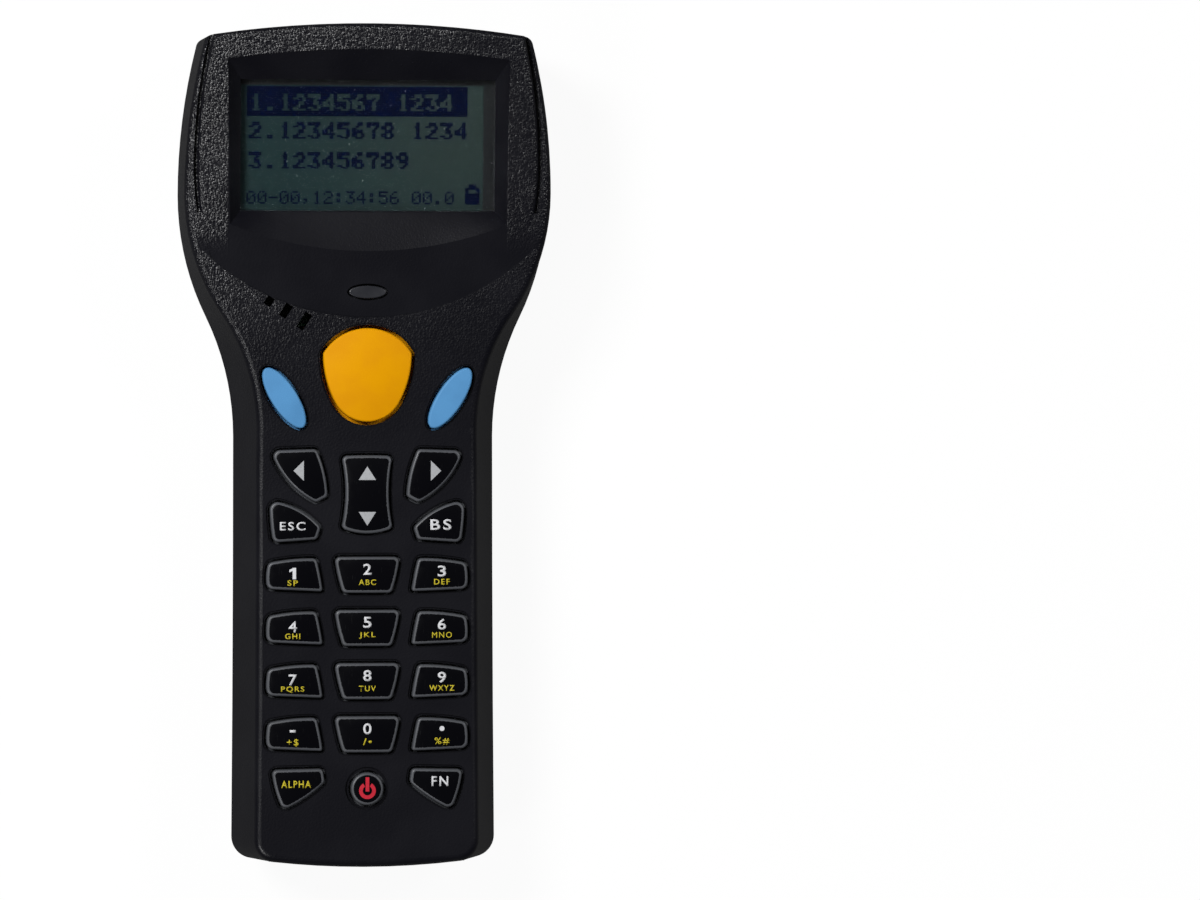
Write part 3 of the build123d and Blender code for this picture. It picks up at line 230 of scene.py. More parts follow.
@dataclass(frozen=True)
class Net:
    """A node tree, and the shader that its patterns go into. Sizes are in millimetres."""

    tree: Tree
    shader: Node

    def give(self, name: str, value: Socket) -> None:
        """Links a value to one of the shader's inputs."""
        self.tree.links.new(value, self.shader.inputs[name])

    def maths(self, operation: str, *values: Socket | float) -> Socket:
        """Result of a calculation with up to three numbers."""
        return add_node(self.tree, "Math", dict(enumerate(values)), operation=operation).outputs[0]

    def vectors(self, operation: str, *values: Socket | list[float]) -> Socket:
        """Result of a calculation with places: a number for a distance, and else a place."""
        made = add_node(self.tree, "VectorMath", dict(enumerate(values)), operation=operation)
        return made.outputs["Value" if operation == "DISTANCE" else "Vector"]

    def split(self, place: Socket) -> tuple[Socket, ...]:
        """The three numbers of a place."""
        return tuple(add_node(self.tree, "SeparateXYZ", {0: place}).outputs)

    def place(self, stretch: Triple = (1, 1, 1), turn: float = 0.0) -> Socket:
        """The piece's own coordinates, stretched and turned where a pattern has a direction.

        Args:
            stretch: Scale along each axis.
            turn: Degrees about Z.

        Returns:
            The coordinates, in metres.
        """
        own = add_node(self.tree, "TexCoord").outputs["Object"]
        spun = {"Vector": own, "Rotation": Euler((0, 0, radians(turn))), "Scale": stretch}
        return add_node(self.tree, "Mapping", spun).outputs["Vector"]

    def noise(self, place: Socket, kind: Clouds) -> Socket:
        """Cloudy noise as it comes, around 0.5."""
        inputs = {"Vector": place, "Scale": per(kind.size), "Detail": kind.fine}
        return add_node(self.tree, "TexNoise", inputs).outputs["Fac"]

    def clouds(self, place: Socket, kind: Clouds, to: Pair = (0, 1)) -> Socket:
        """Cloudy noise, stretched from where it starts to where it is full over a new range."""
        return self.spread(self.noise(place, kind), kind.start, kind.full, to)

    def spread(self, value: Socket, low: float, high: float, to: Pair = (0, 1)) -> Socket:
        """Stretches part of a value's range over another range.

        Args:
            value: The value to stretch.
            low: Value that becomes the first of to.
            high: Value that becomes the second of to.
            to: The new range.

        Returns:
            The stretched value, kept inside the new range.
        """
        ends = {"Value": value, "From Min": low, "From Max": high, "To Min": to[0], "To Max": to[1]}
        made = add_node(self.tree, "MapRange", ends, interpolation_type="SMOOTHSTEP")
        return made.outputs["Result"]

    def tint(self, share: Socket, first: str, second: str) -> None:
        """Colours the surface by a pattern, from 0 for the first colour to 1 for the second."""
        both = {0: share, 6: linear(first), 7: linear(second)}
        self.give("Base Color", add_node(self.tree, "Mix", both, data_type="RGBA").outputs[2])

    def raise_by(self, height: Socket, depth: float, strength: float = 1.0) -> None:
        """Bumps the surface by a pattern.

        Args:
            height: The pattern, from 0 to 1.
            depth: Height of a pattern value of 1.
            strength: Share of that which shows.
        """
        inputs = {"Height": height, "Distance": depth * MM, "Strength": strength}
        self.give("Normal", add_node(self.tree, "Bump", inputs).outputs["Normal"])

    def looked_at(self, gloss_share: float) -> Socket:
        """Picks out the rays that look at a surface, and don't light others with it.

        Args:
            gloss_share: How much of it gloss and clear sheets show.

        Returns:
            1 for the camera, the share for gloss and transmission, and 0 for all other rays.
        """
        path = add_node(self.tree, "LightPath").outputs
        other = self.maths("MAXIMUM", path["Is Glossy Ray"], path["Is Transmission Ray"])
        dimmed = self.maths("MULTIPLY", other, gloss_share)
        return self.maths("MAXIMUM", path["Is Camera Ray"], dimmed)


# ---------------------------------------- finishes
@dataclass(frozen=True)
class Finish:
    """A surface: what it is made of, and how it was made. Sizes are in millimetres.

    The roughness change is how much smoother and rougher it is at the ends of its pattern.
    """

    name: str
    colour: str
    roughness: float = 0.5
    metallic: float = 0.0
    ior: float = 1.5
    specular: float = 0.5
    roughness_change: Pair = (0.0, 0.0)

    def material(self) -> bpy.types.Material:
        """Makes the finish's material the first time that it is asked for.

        Returns:
            The one material of that name.
        """
        made = bpy.data.materials.get(self.name)
        if made is not None:
            return made
        made = bpy.data.materials.new(self.name)
        made.use_nodes = True
        shader = made.node_tree.nodes["Principled BSDF"]
        shader.inputs["Base Color"].default_value = linear(self.colour)
        shader.inputs["Roughness"].default_value = self.roughness
        shader.inputs["Metallic"].default_value = self.metallic
        shader.inputs["IOR"].default_value = self.ior
        shader.inputs["Specular IOR Level"].default_value = self.specular
        made.diffuse_color = linear(self.colour)
        self.detail(Net(made.node_tree, shader))
        return made

    def rough_range(self) -> Pair:
        """Its roughness where its pattern is 0, and where it is 1."""
        smoother, rougher = self.roughness_change
        return self.roughness - smoother, self.roughness + rougher

    def detail(self, net: Net) -> None:
        """Adds the pattern of the surface. Each kind of finish has its own."""


@dataclass(frozen=True)
class SparkErodedPlastic(Finish):
    """ABS moulded in a spark-eroded tool: small shiny pebbles, polished off by hands.

    The grain is whole on the head, less so at the side of the thumb, and nearly gone on the grip.
    The tool was polished in the display's recess and in the calm field under it, which a circle
    bounds, but not on the back.
    """

    grain: float = 0.44
    grain_depth: float = 0.18
    pebble_slope: Pair = (-0.2, 1.0)
    unevenness: Clouds = Clouds(1.0, 2.0, 0.3, 0.7)
    least_pebble: float = 0.7
    pebble_roughness: float = 0.23
    side_roughness: float = 0.1
    side_slope: Pair = (0.3, 0.75)
    worn_share: float = 0.12
    worn_along: Pair = (-12.0, 58.0)
    thumb_side: Pair = (-30.0, 34.0)
    thumb_share: float = 0.66
    calm_centre: Triple = (0.0, 73.8, 0.0)
    calm_radius: float = 47.6
    calm_fade: float = 0.6
    calm_below: Pair = (36.0, 46.0)
    recess_middle: Triple = (0.0, 59.2, 0.0)
    recess_reach: Triple = (28.4, 20.7, 1.0)
    recess_bow: float = 202.6
    recess_fade: float = 0.985
    back_below: Pair = (15.0, 18.0)
    polish: str = "#121218"
    polishing: Clouds = Clouds(14.0, 4.0, 0.35, 0.7)

    def grain_share(self, net: Net, own: Socket) -> Socket:
        """How much of the grain is left at each place.

        Args:
            net: The material's net.
            own: The piece's own coordinates.

        Returns:
            A share from 0 to 1.
        """
        across, along, up = net.split(own)
        held = net.spread(along, *metres(*self.worn_along), (self.worn_share, 1.0))
        rubbed = net.spread(across, *metres(*self.thumb_side), (1.0, self.thumb_share))
        centre = metres(*self.calm_centre)
        away = net.vectors("DISTANCE", net.place((1, 1, 0)), centre)
        ring = metres(self.calm_radius, self.calm_radius + self.calm_fade)
        outside = net.spread(away, *ring)
        above = net.spread(along, *metres(*self.calm_below))
        grained = net.maths("MAXIMUM", outside, above)
        front = net.maths("MULTIPLY", grained, self.outside_recess(net, own))
        back = net.spread(up, *metres(*self.back_below), (1.0, 0.0))
        coarse = net.maths("MAXIMUM", front, back)
        kept = net.spread(coarse, 0.0, 1.0, (self.worn_share, 1.0))
        return net.maths("MULTIPLY", net.maths("MULTIPLY", held, rubbed), kept)

    def outside_recess(self, net: Net, own: Socket) -> Socket:
        """Tells the smooth display recess, whose top and bottom are arcs, from its frame.

        Args:
            net: The material's net.
            own: The piece's own coordinates.

        Returns:
            0 inside the recess, and 1 outside it.
        """
        x, y, _ = net.split(net.vectors("SUBTRACT", own, metres(*self.recess_middle)))
        bent = net.maths("MULTIPLY_ADD", net.maths("MULTIPLY", x, x), per(2 * self.recess_bow), y)
        flat = add_node(net.tree, "CombineXYZ", {"X": x, "Y": bent}).outputs["Vector"]
        share = net.vectors("DIVIDE", flat, metres(*self.recess_reach))
        across, along, _ = net.split(net.vectors("ABSOLUTE", share))
        return net.spread(net.maths("MAXIMUM", across, along), self.recess_fade, 1.0)

    def detail(self, net: Net) -> None:
        """Pebbles, satin where they are polished off, rougher on the steep walls of the mould."""
        own = net.place()
        cells = {"Vector": own, "Scale": per(self.grain)}
        near = add_node(net.tree, "TexVoronoi", cells, feature="F1").outputs["Distance"]
        pebbles = net.spread(near, *self.pebble_slope, (1.0, 0.0))
        grown = net.clouds(own, self.unevenness, (self.least_pebble, 1.0))
        left = net.maths("MULTIPLY", grown, self.grain_share(net, own))
        height = net.maths("MULTIPLY", pebbles, left)
        net.raise_by(height, self.grain_depth)
        net.tint(net.clouds(own, self.polishing), self.colour, self.polish)
        shine = net.spread(height, 0.0, 1.0, (self.roughness, self.pebble_roughness))
        _, _, facing = net.split(add_node(net.tree, "TexCoord").outputs["Normal"])
        upright = net.maths("ABSOLUTE", facing)
        steep = net.spread(upright, *self.side_slope, (self.side_roughness, 0.0))
        net.give("Roughness", net.maths("ADD", shine, steep))


@dataclass(frozen=True)
class SatinPlastic(Finish):
    """Plastic from a finely blasted tool: an even satin with faint mottling."""

    mottle: str = "#000000"
    mottling: Clouds = Clouds(6.0, 3.0, 0.3, 0.75)
    roughness_change: Pair = (0.04, 0.06)
    grain: float = 0.3
    grain_depth: float = 0.006

    def detail(self, net: Net) -> None:
        """Fine blasted grain, and colour that clouds slightly as pigment does."""
        own = net.place()
        clouds = net.clouds(own, self.mottling)
        net.tint(clouds, self.colour, self.mottle)
        net.raise_by(net.noise(own, Clouds(self.grain)), self.grain_depth)
        net.give("Roughness", net.spread(clouds, 0.0, 1.0, self.rough_range()))


@dataclass(frozen=True)
class KeyLacquer(Finish):
    """Black lacquer sprayed on key tops: glossy, with a few hairline rubs from fingers."""

    rub: Clouds = Clouds(0.16, 3.0, 0.66, 0.76)
    rub_stretch: Triple = (1, 0.06, 1)
    rub_turns: Pair = (35.0, -50.0)
    roughness_change: Pair = (0.0, 0.12)
    peel: float = 1.1
    peel_depth: float = 0.008
    peel_strength: float = 0.5

    def detail(self, net: Net) -> None:
        """Long thin rubs in two directions that dull the gloss, and a faint orange peel."""
        rubs = [net.clouds(net.place(self.rub_stretch, turn), self.rub) for turn in self.rub_turns]
        both = net.maths("MAXIMUM", *rubs)
        net.give("Roughness", net.spread(both, 0.0, 1.0, self.rough_range()))
        peel = net.noise(net.place(), Clouds(self.peel))
        net.raise_by(peel, self.peel_depth, self.peel_strength)


@dataclass(frozen=True)
class SiliconeRubber(Finish):
    """Moulded silicone or EPDM rubber: soft and matt, with a trace of dust."""

    dust: str = "#3A3B3E"
    film: Clouds = Clouds(3.5, 5.0, 0.5, 0.85)
    sheen: float = 0.08
    sheen_roughness: float = 0.5
    grain: float = 0.35
    grain_depth: float = 0.012

    def detail(self, net: Net) -> None:
        """Fine dull grain and a thin uneven film of dust."""
        own = net.place()
        net.tint(net.clouds(own, self.film), self.colour, self.dust)
        net.shader.inputs["Sheen Weight"].default_value = self.sheen
        net.shader.inputs["Sheen Roughness"].default_value = self.sheen_roughness
        net.raise_by(net.noise(own, Clouds(self.grain)), self.grain_depth)


@dataclass(frozen=True)
class PrintedInk(Finish):
    """Pad-printed ink: nearly flat, a little thin and uneven at grain scale."""

    ior: float = 1.35
    thin: str = "#000000"
    cover: Clouds = Clouds(0.4, 4.0, 0.45, 0.8)

    def detail(self, net: Net) -> None:
        """Slightly uneven cover, where the ground shows through."""
        cover = net.clouds(net.place(), self.cover)
        net.tint(cover, self.colour, self.thin)


@dataclass(frozen=True)
class ClearSheet(Finish):
    """Clear or tinted sheet: it shows what is behind it, and lamps shine through."""

    scratch: Clouds = Clouds(0.1, 2.0, 0.68, 0.8)
    scratch_stretch: Triple = (1, 0.04, 1)
    scratch_turn: float = 28.0
    roughness_change: Pair = (0.0, 0.25)

    def detail(self, net: Net) -> None:
        """Sparse fine scratches, and a clear path for lamplight."""
        net.shader.inputs["Transmission Weight"].default_value = 1.0
        drawn = net.place(self.scratch_stretch, self.scratch_turn)
        net.give("Roughness", net.clouds(drawn, self.scratch, self.rough_range()))
        passing = add_node(net.tree, "BsdfTransparent", {"Color": linear(self.colour)}).outputs[0]
        lamp = add_node(net.tree, "LightPath").outputs["Is Shadow Ray"]
        either = {0: lamp, 1: net.shader.outputs[0], 2: passing}
        surface = add_node(net.tree, "MixShader", either).outputs[0]
        net.tree.links.new(surface, net.tree.nodes["Material Output"].inputs["Surface"])


@dataclass(frozen=True)
class DisplayGlass(Finish):
    """Reflective liquid crystal cell: grey-green and silky, with painted light that makes it
    lighter towards one corner.
    """

    # lighter grey of the painted light, strongest at the corner below and fading over the reach
    light: str = "#232B2A"
    near_corner: Triple = (22.0, 66.0, 30.0)
    reach: float = 44.0
    grain: float = 0.37
    grain_depth: float = 0.004

    def detail(self, net: Net) -> None:
        """Painted light that lightens the cell's grey towards one corner, with the faint lattice of
        its dots.
        """
        own = net.place()
        # painted light: the grey is mixed towards the lighter colour near one corner, as if lit
        # from that side
        away = net.vectors("DISTANCE", own, metres(*self.near_corner))
        share = net.spread(away, 0.0, self.reach * MM, (1, 0))
        net.tint(share, self.colour, self.light)
        net.raise_by(net.noise(own, Clouds(self.grain)), self.grain_depth)


@dataclass(frozen=True)
class BoardLaminate(Finish):
    """Glass-epoxy board under solder mask: copper tracks show as paler lines."""

    track: str = "#1F6B3C"
    pitch: float = 2.6
    disorder: float = 0.7
    lines_per_cell: float = 3.0
    fold: float = 0.5
    track_edge: Pair = (0.3, 0.36)
    track_depth: float = 0.035

    def detail(self, net: Net) -> None:
        """Tracks between square cells, slightly raised under the mask."""
        cells = {"Vector": net.place(), "Scale": per(self.pitch), "Randomness": self.disorder}
        ways = {"feature": "F2", "distance": "CHEBYCHEV"}
        near = add_node(net.tree, "TexVoronoi", cells, **ways).outputs["Distance"]
        bands = net.maths("MULTIPLY", near, self.lines_per_cell)
        tracks = net.spread(net.maths("PINGPONG", bands, self.fold), *self.track_edge)
        net.tint(tracks, self.colour, self.track)
        net.raise_by(tracks, self.track_depth)


@dataclass(frozen=True)
class DrawnMetal(Finish):
    """Turned, drawn or rolled metal: fine lines along or round it."""

    metallic: float = 1.0
    line: Clouds = Clouds(0.08, 3.0, 0.3, 0.7)
    line_stretch: Triple = (1, 1, 0.08)
    line_depth: float = 0.004
    roughness_change: Pair = (0.08, 0.12)
    dull: str = "#606266"
    tarnish: Clouds = Clouds(2.5, 3.0, 0.45, 0.8)

    def detail(self, net: Net) -> None:
        """Fine lines that vary its shine, and a breath of tarnish."""
        lines = net.noise(net.place(self.line_stretch), self.line)
        rough = net.spread(lines, self.line.start, self.line.full, self.rough_range())
        net.give("Roughness", rough)
        clouds = net.clouds(net.place(), self.tarnish)
        net.tint(clouds, self.colour, self.dull)
        net.raise_by(lines, self.line_depth)


@dataclass(frozen=True)
class CableFilm(Finish):
    """Polyimide film over copper strands: amber, with darker lines along the cable."""

    strand: str = "#8A4A12"
    wave_scale: float = 100.0
    strand_edge: Pair = (0.45, 0.6)
    strand_depth: float = 0.02

    def detail(self, net: Net) -> None:
        """Strands side by side across the cable's width."""
        waves = {"Vector": net.place(), "Scale": self.wave_scale}
        bands = add_node(net.tree, "TexWave", waves, bands_direction="X").outputs["Fac"]
        strands = net.spread(bands, *self.strand_edge)
        net.tint(strands, self.colour, self.strand)
        net.raise_by(strands, self.strand_depth)


@dataclass(frozen=True)
class PaperSweep(Finish):
    """Matt background paper, lifted to white where it is looked at."""

    glow: float = 0.94
    gloss_share: float = 0.06

    def detail(self, net: Net) -> None:
        """A little light of its own, for the camera and, dimmed, for gloss and glass."""
        net.shader.inputs["Emission Color"].default_value = (1, 1, 1, 1)
        looked = net.looked_at(self.gloss_share)
        net.give("Emission Strength", net.maths("MULTIPLY", looked, self.glow))


class Surface(Enum):
    """Every finish on the terminal, by the name of the record's slot, then those of print."""

    # textured ABS: near black with a violet cast, its pebbles sparkling in grazing light
    CASE = SparkErodedPlastic("spark_eroded_abs", "#0B0B12", 0.31, specular=0.42)
    # translucent grey polycarbonate key, seen as a rim round its black top
    KEY_BLACK = SatinPlastic("grey_polycarbonate_key", "#505257", 0.4, mottle="#484A4E")
    # through-dyed ABS keys: warm yellow and sky blue, satin
    KEY_YELLOW = SatinPlastic(
        "yellow_dyed_abs_key", "#EEA400", 0.5, specular=0.08, mottle="#E89C00"
    )
    KEY_BLUE = SatinPlastic("blue_dyed_abs_key", "#5C9BD0", 0.5, specular=0.2, mottle="#5592C6")
    # matt black rubber, a little dusty
    FLAP_RUBBER = SiliconeRubber("moulded_epdm_flap", "#111114", 0.7, dust="#18181B")
    SEAL_RUBBER = SiliconeRubber("moulded_silicone_seal", "#141416", 0.65, dust="#1B1B1D")
    MAT_RUBBER = SiliconeRubber("grey_silicone_mat", "#8C8E93", 0.6, dust="#9A9CA0")
    # clear window, and the dark red filter in front of the laser
    WINDOW = ClearSheet("clear_polycarbonate_window", "#F2F5F5", 0.03, ior=1.3)
    SCAN_GLASS = ClearSheet("red_filter_glass", "#8A1420", 0.02, ior=1.52)
    # unlit reflective display: dark grey-green, with painted light towards one corner
    DISPLAY_GLASS = DisplayGlass("reflective_liquid_crystal_cell", "#182425", 0.5, specular=0.04)
    # passes infrared only: black with a red cast
    INFRARED_FILTER = SatinPlastic("infrared_pass_polycarbonate", "#1C0507", 0.12, mottle="#240608")
    LENS = SatinPlastic("frosted_grey_acrylic_lens", "#26272C", 0.3, mottle="#2D2E33")
    BACKLIGHT = SatinPlastic("milk_acrylic_light_guide", "#E4E6E2", 0.4, mottle="#D8DBD6")
    FRAME_PLASTIC = SatinPlastic("satin_abs_holder", "#1E1E20", 0.5, mottle="#242427")
    PORT_PLASTIC = SatinPlastic("glass_filled_nylon", "#0F0F10", 0.55, mottle="#19191A", grain=0.5)
    # shrink film over the cells: dark, glossy and slightly wavy
    PACK = SatinPlastic("shrink_film_pack", "#33343A", 0.3, mottle="#3A3B42", grain_depth=0.02)
    BOARD = BoardLaminate("glass_epoxy_board", "#0F4D2A", 0.35)
    CHIP = SatinPlastic(
        "moulded_epoxy_package", "#121212", 0.6, mottle="#1B1B1B", grain_depth=0.012
    )
    CABLE_FILM = CableFilm("polyimide_flat_cable", "#C4741F", 0.3)
    # metals, with fine lines from how each was drawn, cast, turned or plated
    STEEL = DrawnMetal("drawn_steel", "#B4B5B8", 0.3, dull="#8C8D90")
    CHASSIS_METAL = DrawnMetal("cast_aluminium", "#C9CACC", 0.45, dull="#A3A4A6")
    INSERT_BRASS = DrawnMetal("turned_brass", "#D9B45B", 0.25, dull="#B08E42")
    CONTACT_METAL = DrawnMetal("gold_plated_bronze", "#E6C46A", 0.2, dull="#CFA94E")
    MIRROR = DrawnMetal("aluminised_mirror", "#EDEEEF", 0.1, dull="#E2E3E4")
    # sprayed key top: the black face of each small key
    KEY_TOP = KeyLacquer("black_key_lacquer", "#050509", 0.2, ior=1.45)
    # pad prints, a little thin where the ground shows through
    WHITE_INK = PrintedInk("white_pad_print", "#E2E3E6", 0.5, thin="#CFD0D3")
    SILVER_INK = PrintedInk("silver_pad_print", "#B2B4B7", 0.45, thin="#A0A2A5")
    YELLOW_INK = PrintedInk("yellow_pad_print", "#D2C130", 0.5, thin="#B9A926")
    RED_INK = PrintedInk("red_pad_print", "#CB2438", 0.5, thin="#B01C2E")
    DARK_INK = PrintedInk("black_screen_print", "#101113", 0.4, thin="#131416")
    # driven crystal: the dark navy of a lit dot
    DOT = PrintedInk(
        "driven_liquid_crystal_dot", "#01041A", 0.5, ior=1.5, specular=0.02, thin="#020720"
    )


# ---------------------------------------- sub-assemblies
# rows of five dots from the top of each character: 1 is dark
GLYPHS = {
    "0": "01110 10001 10011 10101 11001 10001 01110",
    "1": "00100 01100 00100 00100 00100 00100 01110",
    "2": "01110 10001 00001 00110 01000 10000 11111",
    "3": "11111 00010 00100 00110 00001 10001 01110",
    "4": "00010 00110 01010 10010 11111 00010 00010",
    "5": "11111 10000 11110 00001 00001 10001 01110",
    "6": "00110 01000 10000 11110 10001 10001 01110",
    "7": "11111 10001 00010 00100 00100 00100 00100",
    "8": "01110 10001 10001 01110 10001 10001 01110",
    "9": "01110 10001 10001 01111 00001 00010 01100",
    ".": "00000 00000 00000 00000 00000 01100 01100",
    ",": "00000 00000 00000 00000 01100 00100 01000",
    ":": "00000 01100 01100 00000 01100 01100 00000",
    "-": "00000 00000 00000 11111 00000 00000 00000",
    " ": "00000 00000 00000 00000 00000 00000 00000",
}
# letters under each digit, with their width and height in millimetres and their stroke
LETTERS = {
    "1": ("SP", 2.1, 1.15, 0.017),
    "2": ("ABC", 3.5, 1.15, 0.017),
    "3": ("DEF", 3.2, 1.15, 0.017),
    "4": ("GHI", 3.05, 1.15, 0.017),
    "5": ("JKL", 3.3, 1.35, 0.017),
    "6": ("MNO", 4.0, 1.15, 0.0),
    "7": ("PQRS", 4.7, 1.3, 0.017),
    "8": ("TUV", 3.45, 1.15, 0.017),
    "9": ("WXYZ", 5.1, 1.15, 0.017),
    "minus": ("+$", 2.35, 1.55, 0.012),
    "0": ("/\u2022", 1.8, 1.4, 0.017),
    "point": ("%#", 3.0, 1.5, 0.014),
}


@dataclass
class Carried:
    """The CAD nodes whose shape is right: each gets the finish of its slot in the record."""

    def build(self) -> None:
        """Dresses every node."""
        for part in frame["record"]["subparts"]:
            surface = Surface[part["material_slot"].upper()].value
            dress(frame["nodes"][part["node"]], surface)
            LOG.info("%s: %s", part["node"], surface.name)


@dataclass
class Display:
    """Window, printed mask with a band of painted shadow, and lit dots of the liquid crystal
    display. Millimetres.
    """

    middle: Triple = (0.0, 60.3, 32.7)
    tilt: float = 7.0
    opening: Pair = (51.1, 26.2)
    flange: float = 2.0
    face_depth: float = 2.9
    flange_depth: float = 3.6
    window_depth: float = 4.6
    window_edge: float = 0.3
    window_smooth: float = 10.0
    faces_up: float = 0.9
    mask_depth: float = 4.64
    mask_thickness: float = 0.06
    mask_size: Pair = (53.0, 28.6)
    mask_inset: float = 1.0
    # the opening's top edge sits about 1 mm under the window's, leaving a dark band that is painted
    # shadow of the recess's top wall
    mask_opening: tuple[float, float, float, float] = (-25.3, 23.5, -13.2, 12.1)
    dots: Cell = (128, 64)
    dot_area: Pair = (47.6, 24.2)
    dot_middle: Pair = (-0.6, -0.3)
    dot_depth: float = 4.79
    dot_gap: float = 0.012
    dot_thickness: float = 0.02
    glyph_dots: Cell = (5, 7)
    bar_dots: Cell = (120, 16)
    battery_dots: tuple[tuple[int, ...], ...] = ((119, 127, 54, 63), (121, 125, 52, 54))
    battery_gap: tuple[int, ...] = (121, 125, 55, 57)

    def place(self, depth: float) -> Matrix:
        """Axes of the display, with Z out of it.

        Args:
            depth: How deep under the plateau they are.

        Returns:
            Where a piece's own axes go.
        """
        middle = Matrix.Translation(Vector(self.middle) * MM)
        tilted = Matrix.Rotation(radians(self.tilt), 4, "X")
        return middle @ tilted @ Matrix.Translation((0, 0, -depth * MM))

    def build(self) -> None:
        """Makes the window, the mask and the dots."""
        self.window()
        self.mask()
        self.lit_dots()

    def window(self) -> None:
        """Clear window: a flange under the case, and a raised pane with polished edges."""
        let_go()
        bpy.ops.mesh.primitive_cube_add(size=1)
        pane = bpy.context.object
        thick = self.window_depth - self.flange_depth
        wide, high = (side + 2 * self.flange for side in self.opening)
        pane.scale = metres(wide, high, thick)
        settle(pane)
        select(pane, "FACE", lambda face: face.normal.z > self.faces_up)
        bpy.ops.mesh.inset(thickness=self.flange * MM)
        up = (0, 0, (self.flange_depth - self.face_depth) * MM)
        bpy.ops.mesh.extrude_region_move(TRANSFORM_OT_translate={"value": up})
        modify(pane, "BEVEL", width=self.window_edge * MM, segments=3, limit_method="ANGLE")
        settle(pane, self.place((self.flange_depth + self.window_depth) / 2))
        bpy.ops.object.shade_smooth_by_angle(angle=radians(self.window_smooth))
        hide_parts("lcd_window")
        hand_over(pane, "display_window", "terminal", Surface.WINDOW.value)

    def mask(self) -> None:
        """Black frame printed behind the window, wider on the right than on the left; its band
        along the top is painted shadow of the recess's top wall.
        """
        let_go()
        bpy.ops.mesh.primitive_plane_add(size=1)
        sheet = bpy.context.object
        sheet.scale = (*metres(*self.mask_size), 1)
        settle(sheet)
        # painted shadow: the top band of this black sheet stands in for the shade of the recess
        # wall
        left, right, low, high = self.mask_opening
        select(sheet, "FACE", lambda face: True)
        bpy.ops.mesh.inset(thickness=self.mask_inset * MM)
        inner = [size - 2 * self.mask_inset for size in self.mask_size]
        shares = ((right - left) / inner[0], (high - low) / inner[1], 1)
        bpy.ops.transform.resize(value=shares)
        bpy.ops.transform.translate(value=((left + right) / 2 * MM, (low + high) / 2 * MM, 0))
        cut_away()
        modify(sheet, "SOLIDIFY", thickness=self.mask_thickness * MM, offset=-1)
        settle(sheet, self.place(self.mask_depth))
        hand_over(sheet, "display_mask_and_painted_shadow", "terminal", Surface.DARK_INK.value)

    def line_dots(
        self, text: str, left: int, top: int, pitch: int, size: Cell, stroke: int
    ) -> set[Cell]:
        """Dots that a line of characters lights, each glyph stretched over its size in dots.

        Args:
            text: The characters.
            left: First column.
            top: First row, counted from the top.
            pitch: Columns from one character to the next.
            size: Columns and rows that a glyph covers.
            stroke: Columns that an upright stroke is wide.

        Returns:
            Columns and rows of the lit dots.
        """
        wide, tall = (range(grown) for grown in size)
        across = [column * self.glyph_dots[0] // size[0] for column in wide]
        down = [row * self.glyph_dots[1] // size[1] for row in tall]
        lit = set()
        for number, character in enumerate(text):
            lines = GLYPHS[character].split()
            for x, y in ((x, y) for x in wide for y in tall if lines[down[y]][across[x]] == "1"):
                start = left + number * pitch + x
                lit |= {(start + more, top + y) for more in range(stroke)}
        return lit

    @staticmethod
    def block(left: int, right: int, top: int, low: int) -> set[Cell]:
        """Columns and rows of a rectangle of dots."""
        return {(x, y) for x in range(left, right) for y in range(top, low)}

    def picture(self) -> set[Cell]:
        """Dots that are dark: a chosen line in reverse, two lines, a status line and a battery.

        Returns:
            Columns and rows of the dark dots.
        """
        large = {"left": 1, "pitch": 8, "size": (6, 9), "stroke": 2}
        small = {"left": 0, "pitch": 6, "size": self.glyph_dots, "stroke": 1}
        columns, rows = self.bar_dots
        dark = self.block(0, columns, 0, rows)
        dark -= self.line_dots("1.1234567 1234", top=4, **large)
        dark |= self.line_dots("2.12345678 1234", top=3 + rows, **large)
        dark |= self.line_dots("3.123456789", top=3 + 2 * rows, **large)
        dark |= self.line_dots("00-00,12:34:56 00.0", top=56, **small)
        for part in self.battery_dots:
            dark |= self.block(*part)
        return dark - self.block(*self.battery_gap)

    def lit_dots(self) -> None:
        """Dark dots of the display: small squares with bare glass between them."""
        let_go()
        columns, rows = self.dots
        bpy.ops.mesh.primitive_grid_add(x_subdivisions=columns, y_subdivisions=rows, size=1)
        film = bpy.context.object
        dark = self.picture()

        def bare(face: Face) -> bool:
            """Whether a face of the grid is a dot that stays clear."""
            across, down = face.center.x + 0.5, 0.5 - face.center.y
            return (int(across * columns), int(down * rows)) not in dark

        select(film, "FACE", bare)
        cut_away()
        to_mode("OBJECT")
        film.scale = (*metres(*self.dot_area), 1)
        film.location = (*metres(*self.dot_middle), 0)
        settle(film)
        select(film, "FACE", lambda face: True)
        bpy.ops.mesh.inset(thickness=self.dot_gap * MM, use_individual=True)
        pick_all("INVERT")
        cut_away()
        modify(film, "SOLIDIFY", thickness=self.dot_thickness * MM, offset=1)
        settle(film, self.place(self.dot_depth))
        hand_over(film, "display_dots", "terminal", Surface.DOT.value)


class Shape(Enum):
    """What is printed on a key."""

    TEXT = "text"
    ONE = "one"
    TRIANGLE = "triangle"
    DISC = "disc"
    POWER = "power"


@dataclass(frozen=True)
class Mark:
    """One print on a key: its ink, middle and width and height in millimetres.

    The stroke is how far a letter's outline is grown, as a share of the font's size.
    """

    name: str
    key: str
    shape: Shape
    middle: Pair
    size: Pair
    ink: Surface = Surface.WHITE_INK
    text: str = ""
    turn: float = 0.0
    stroke: float = 0.019


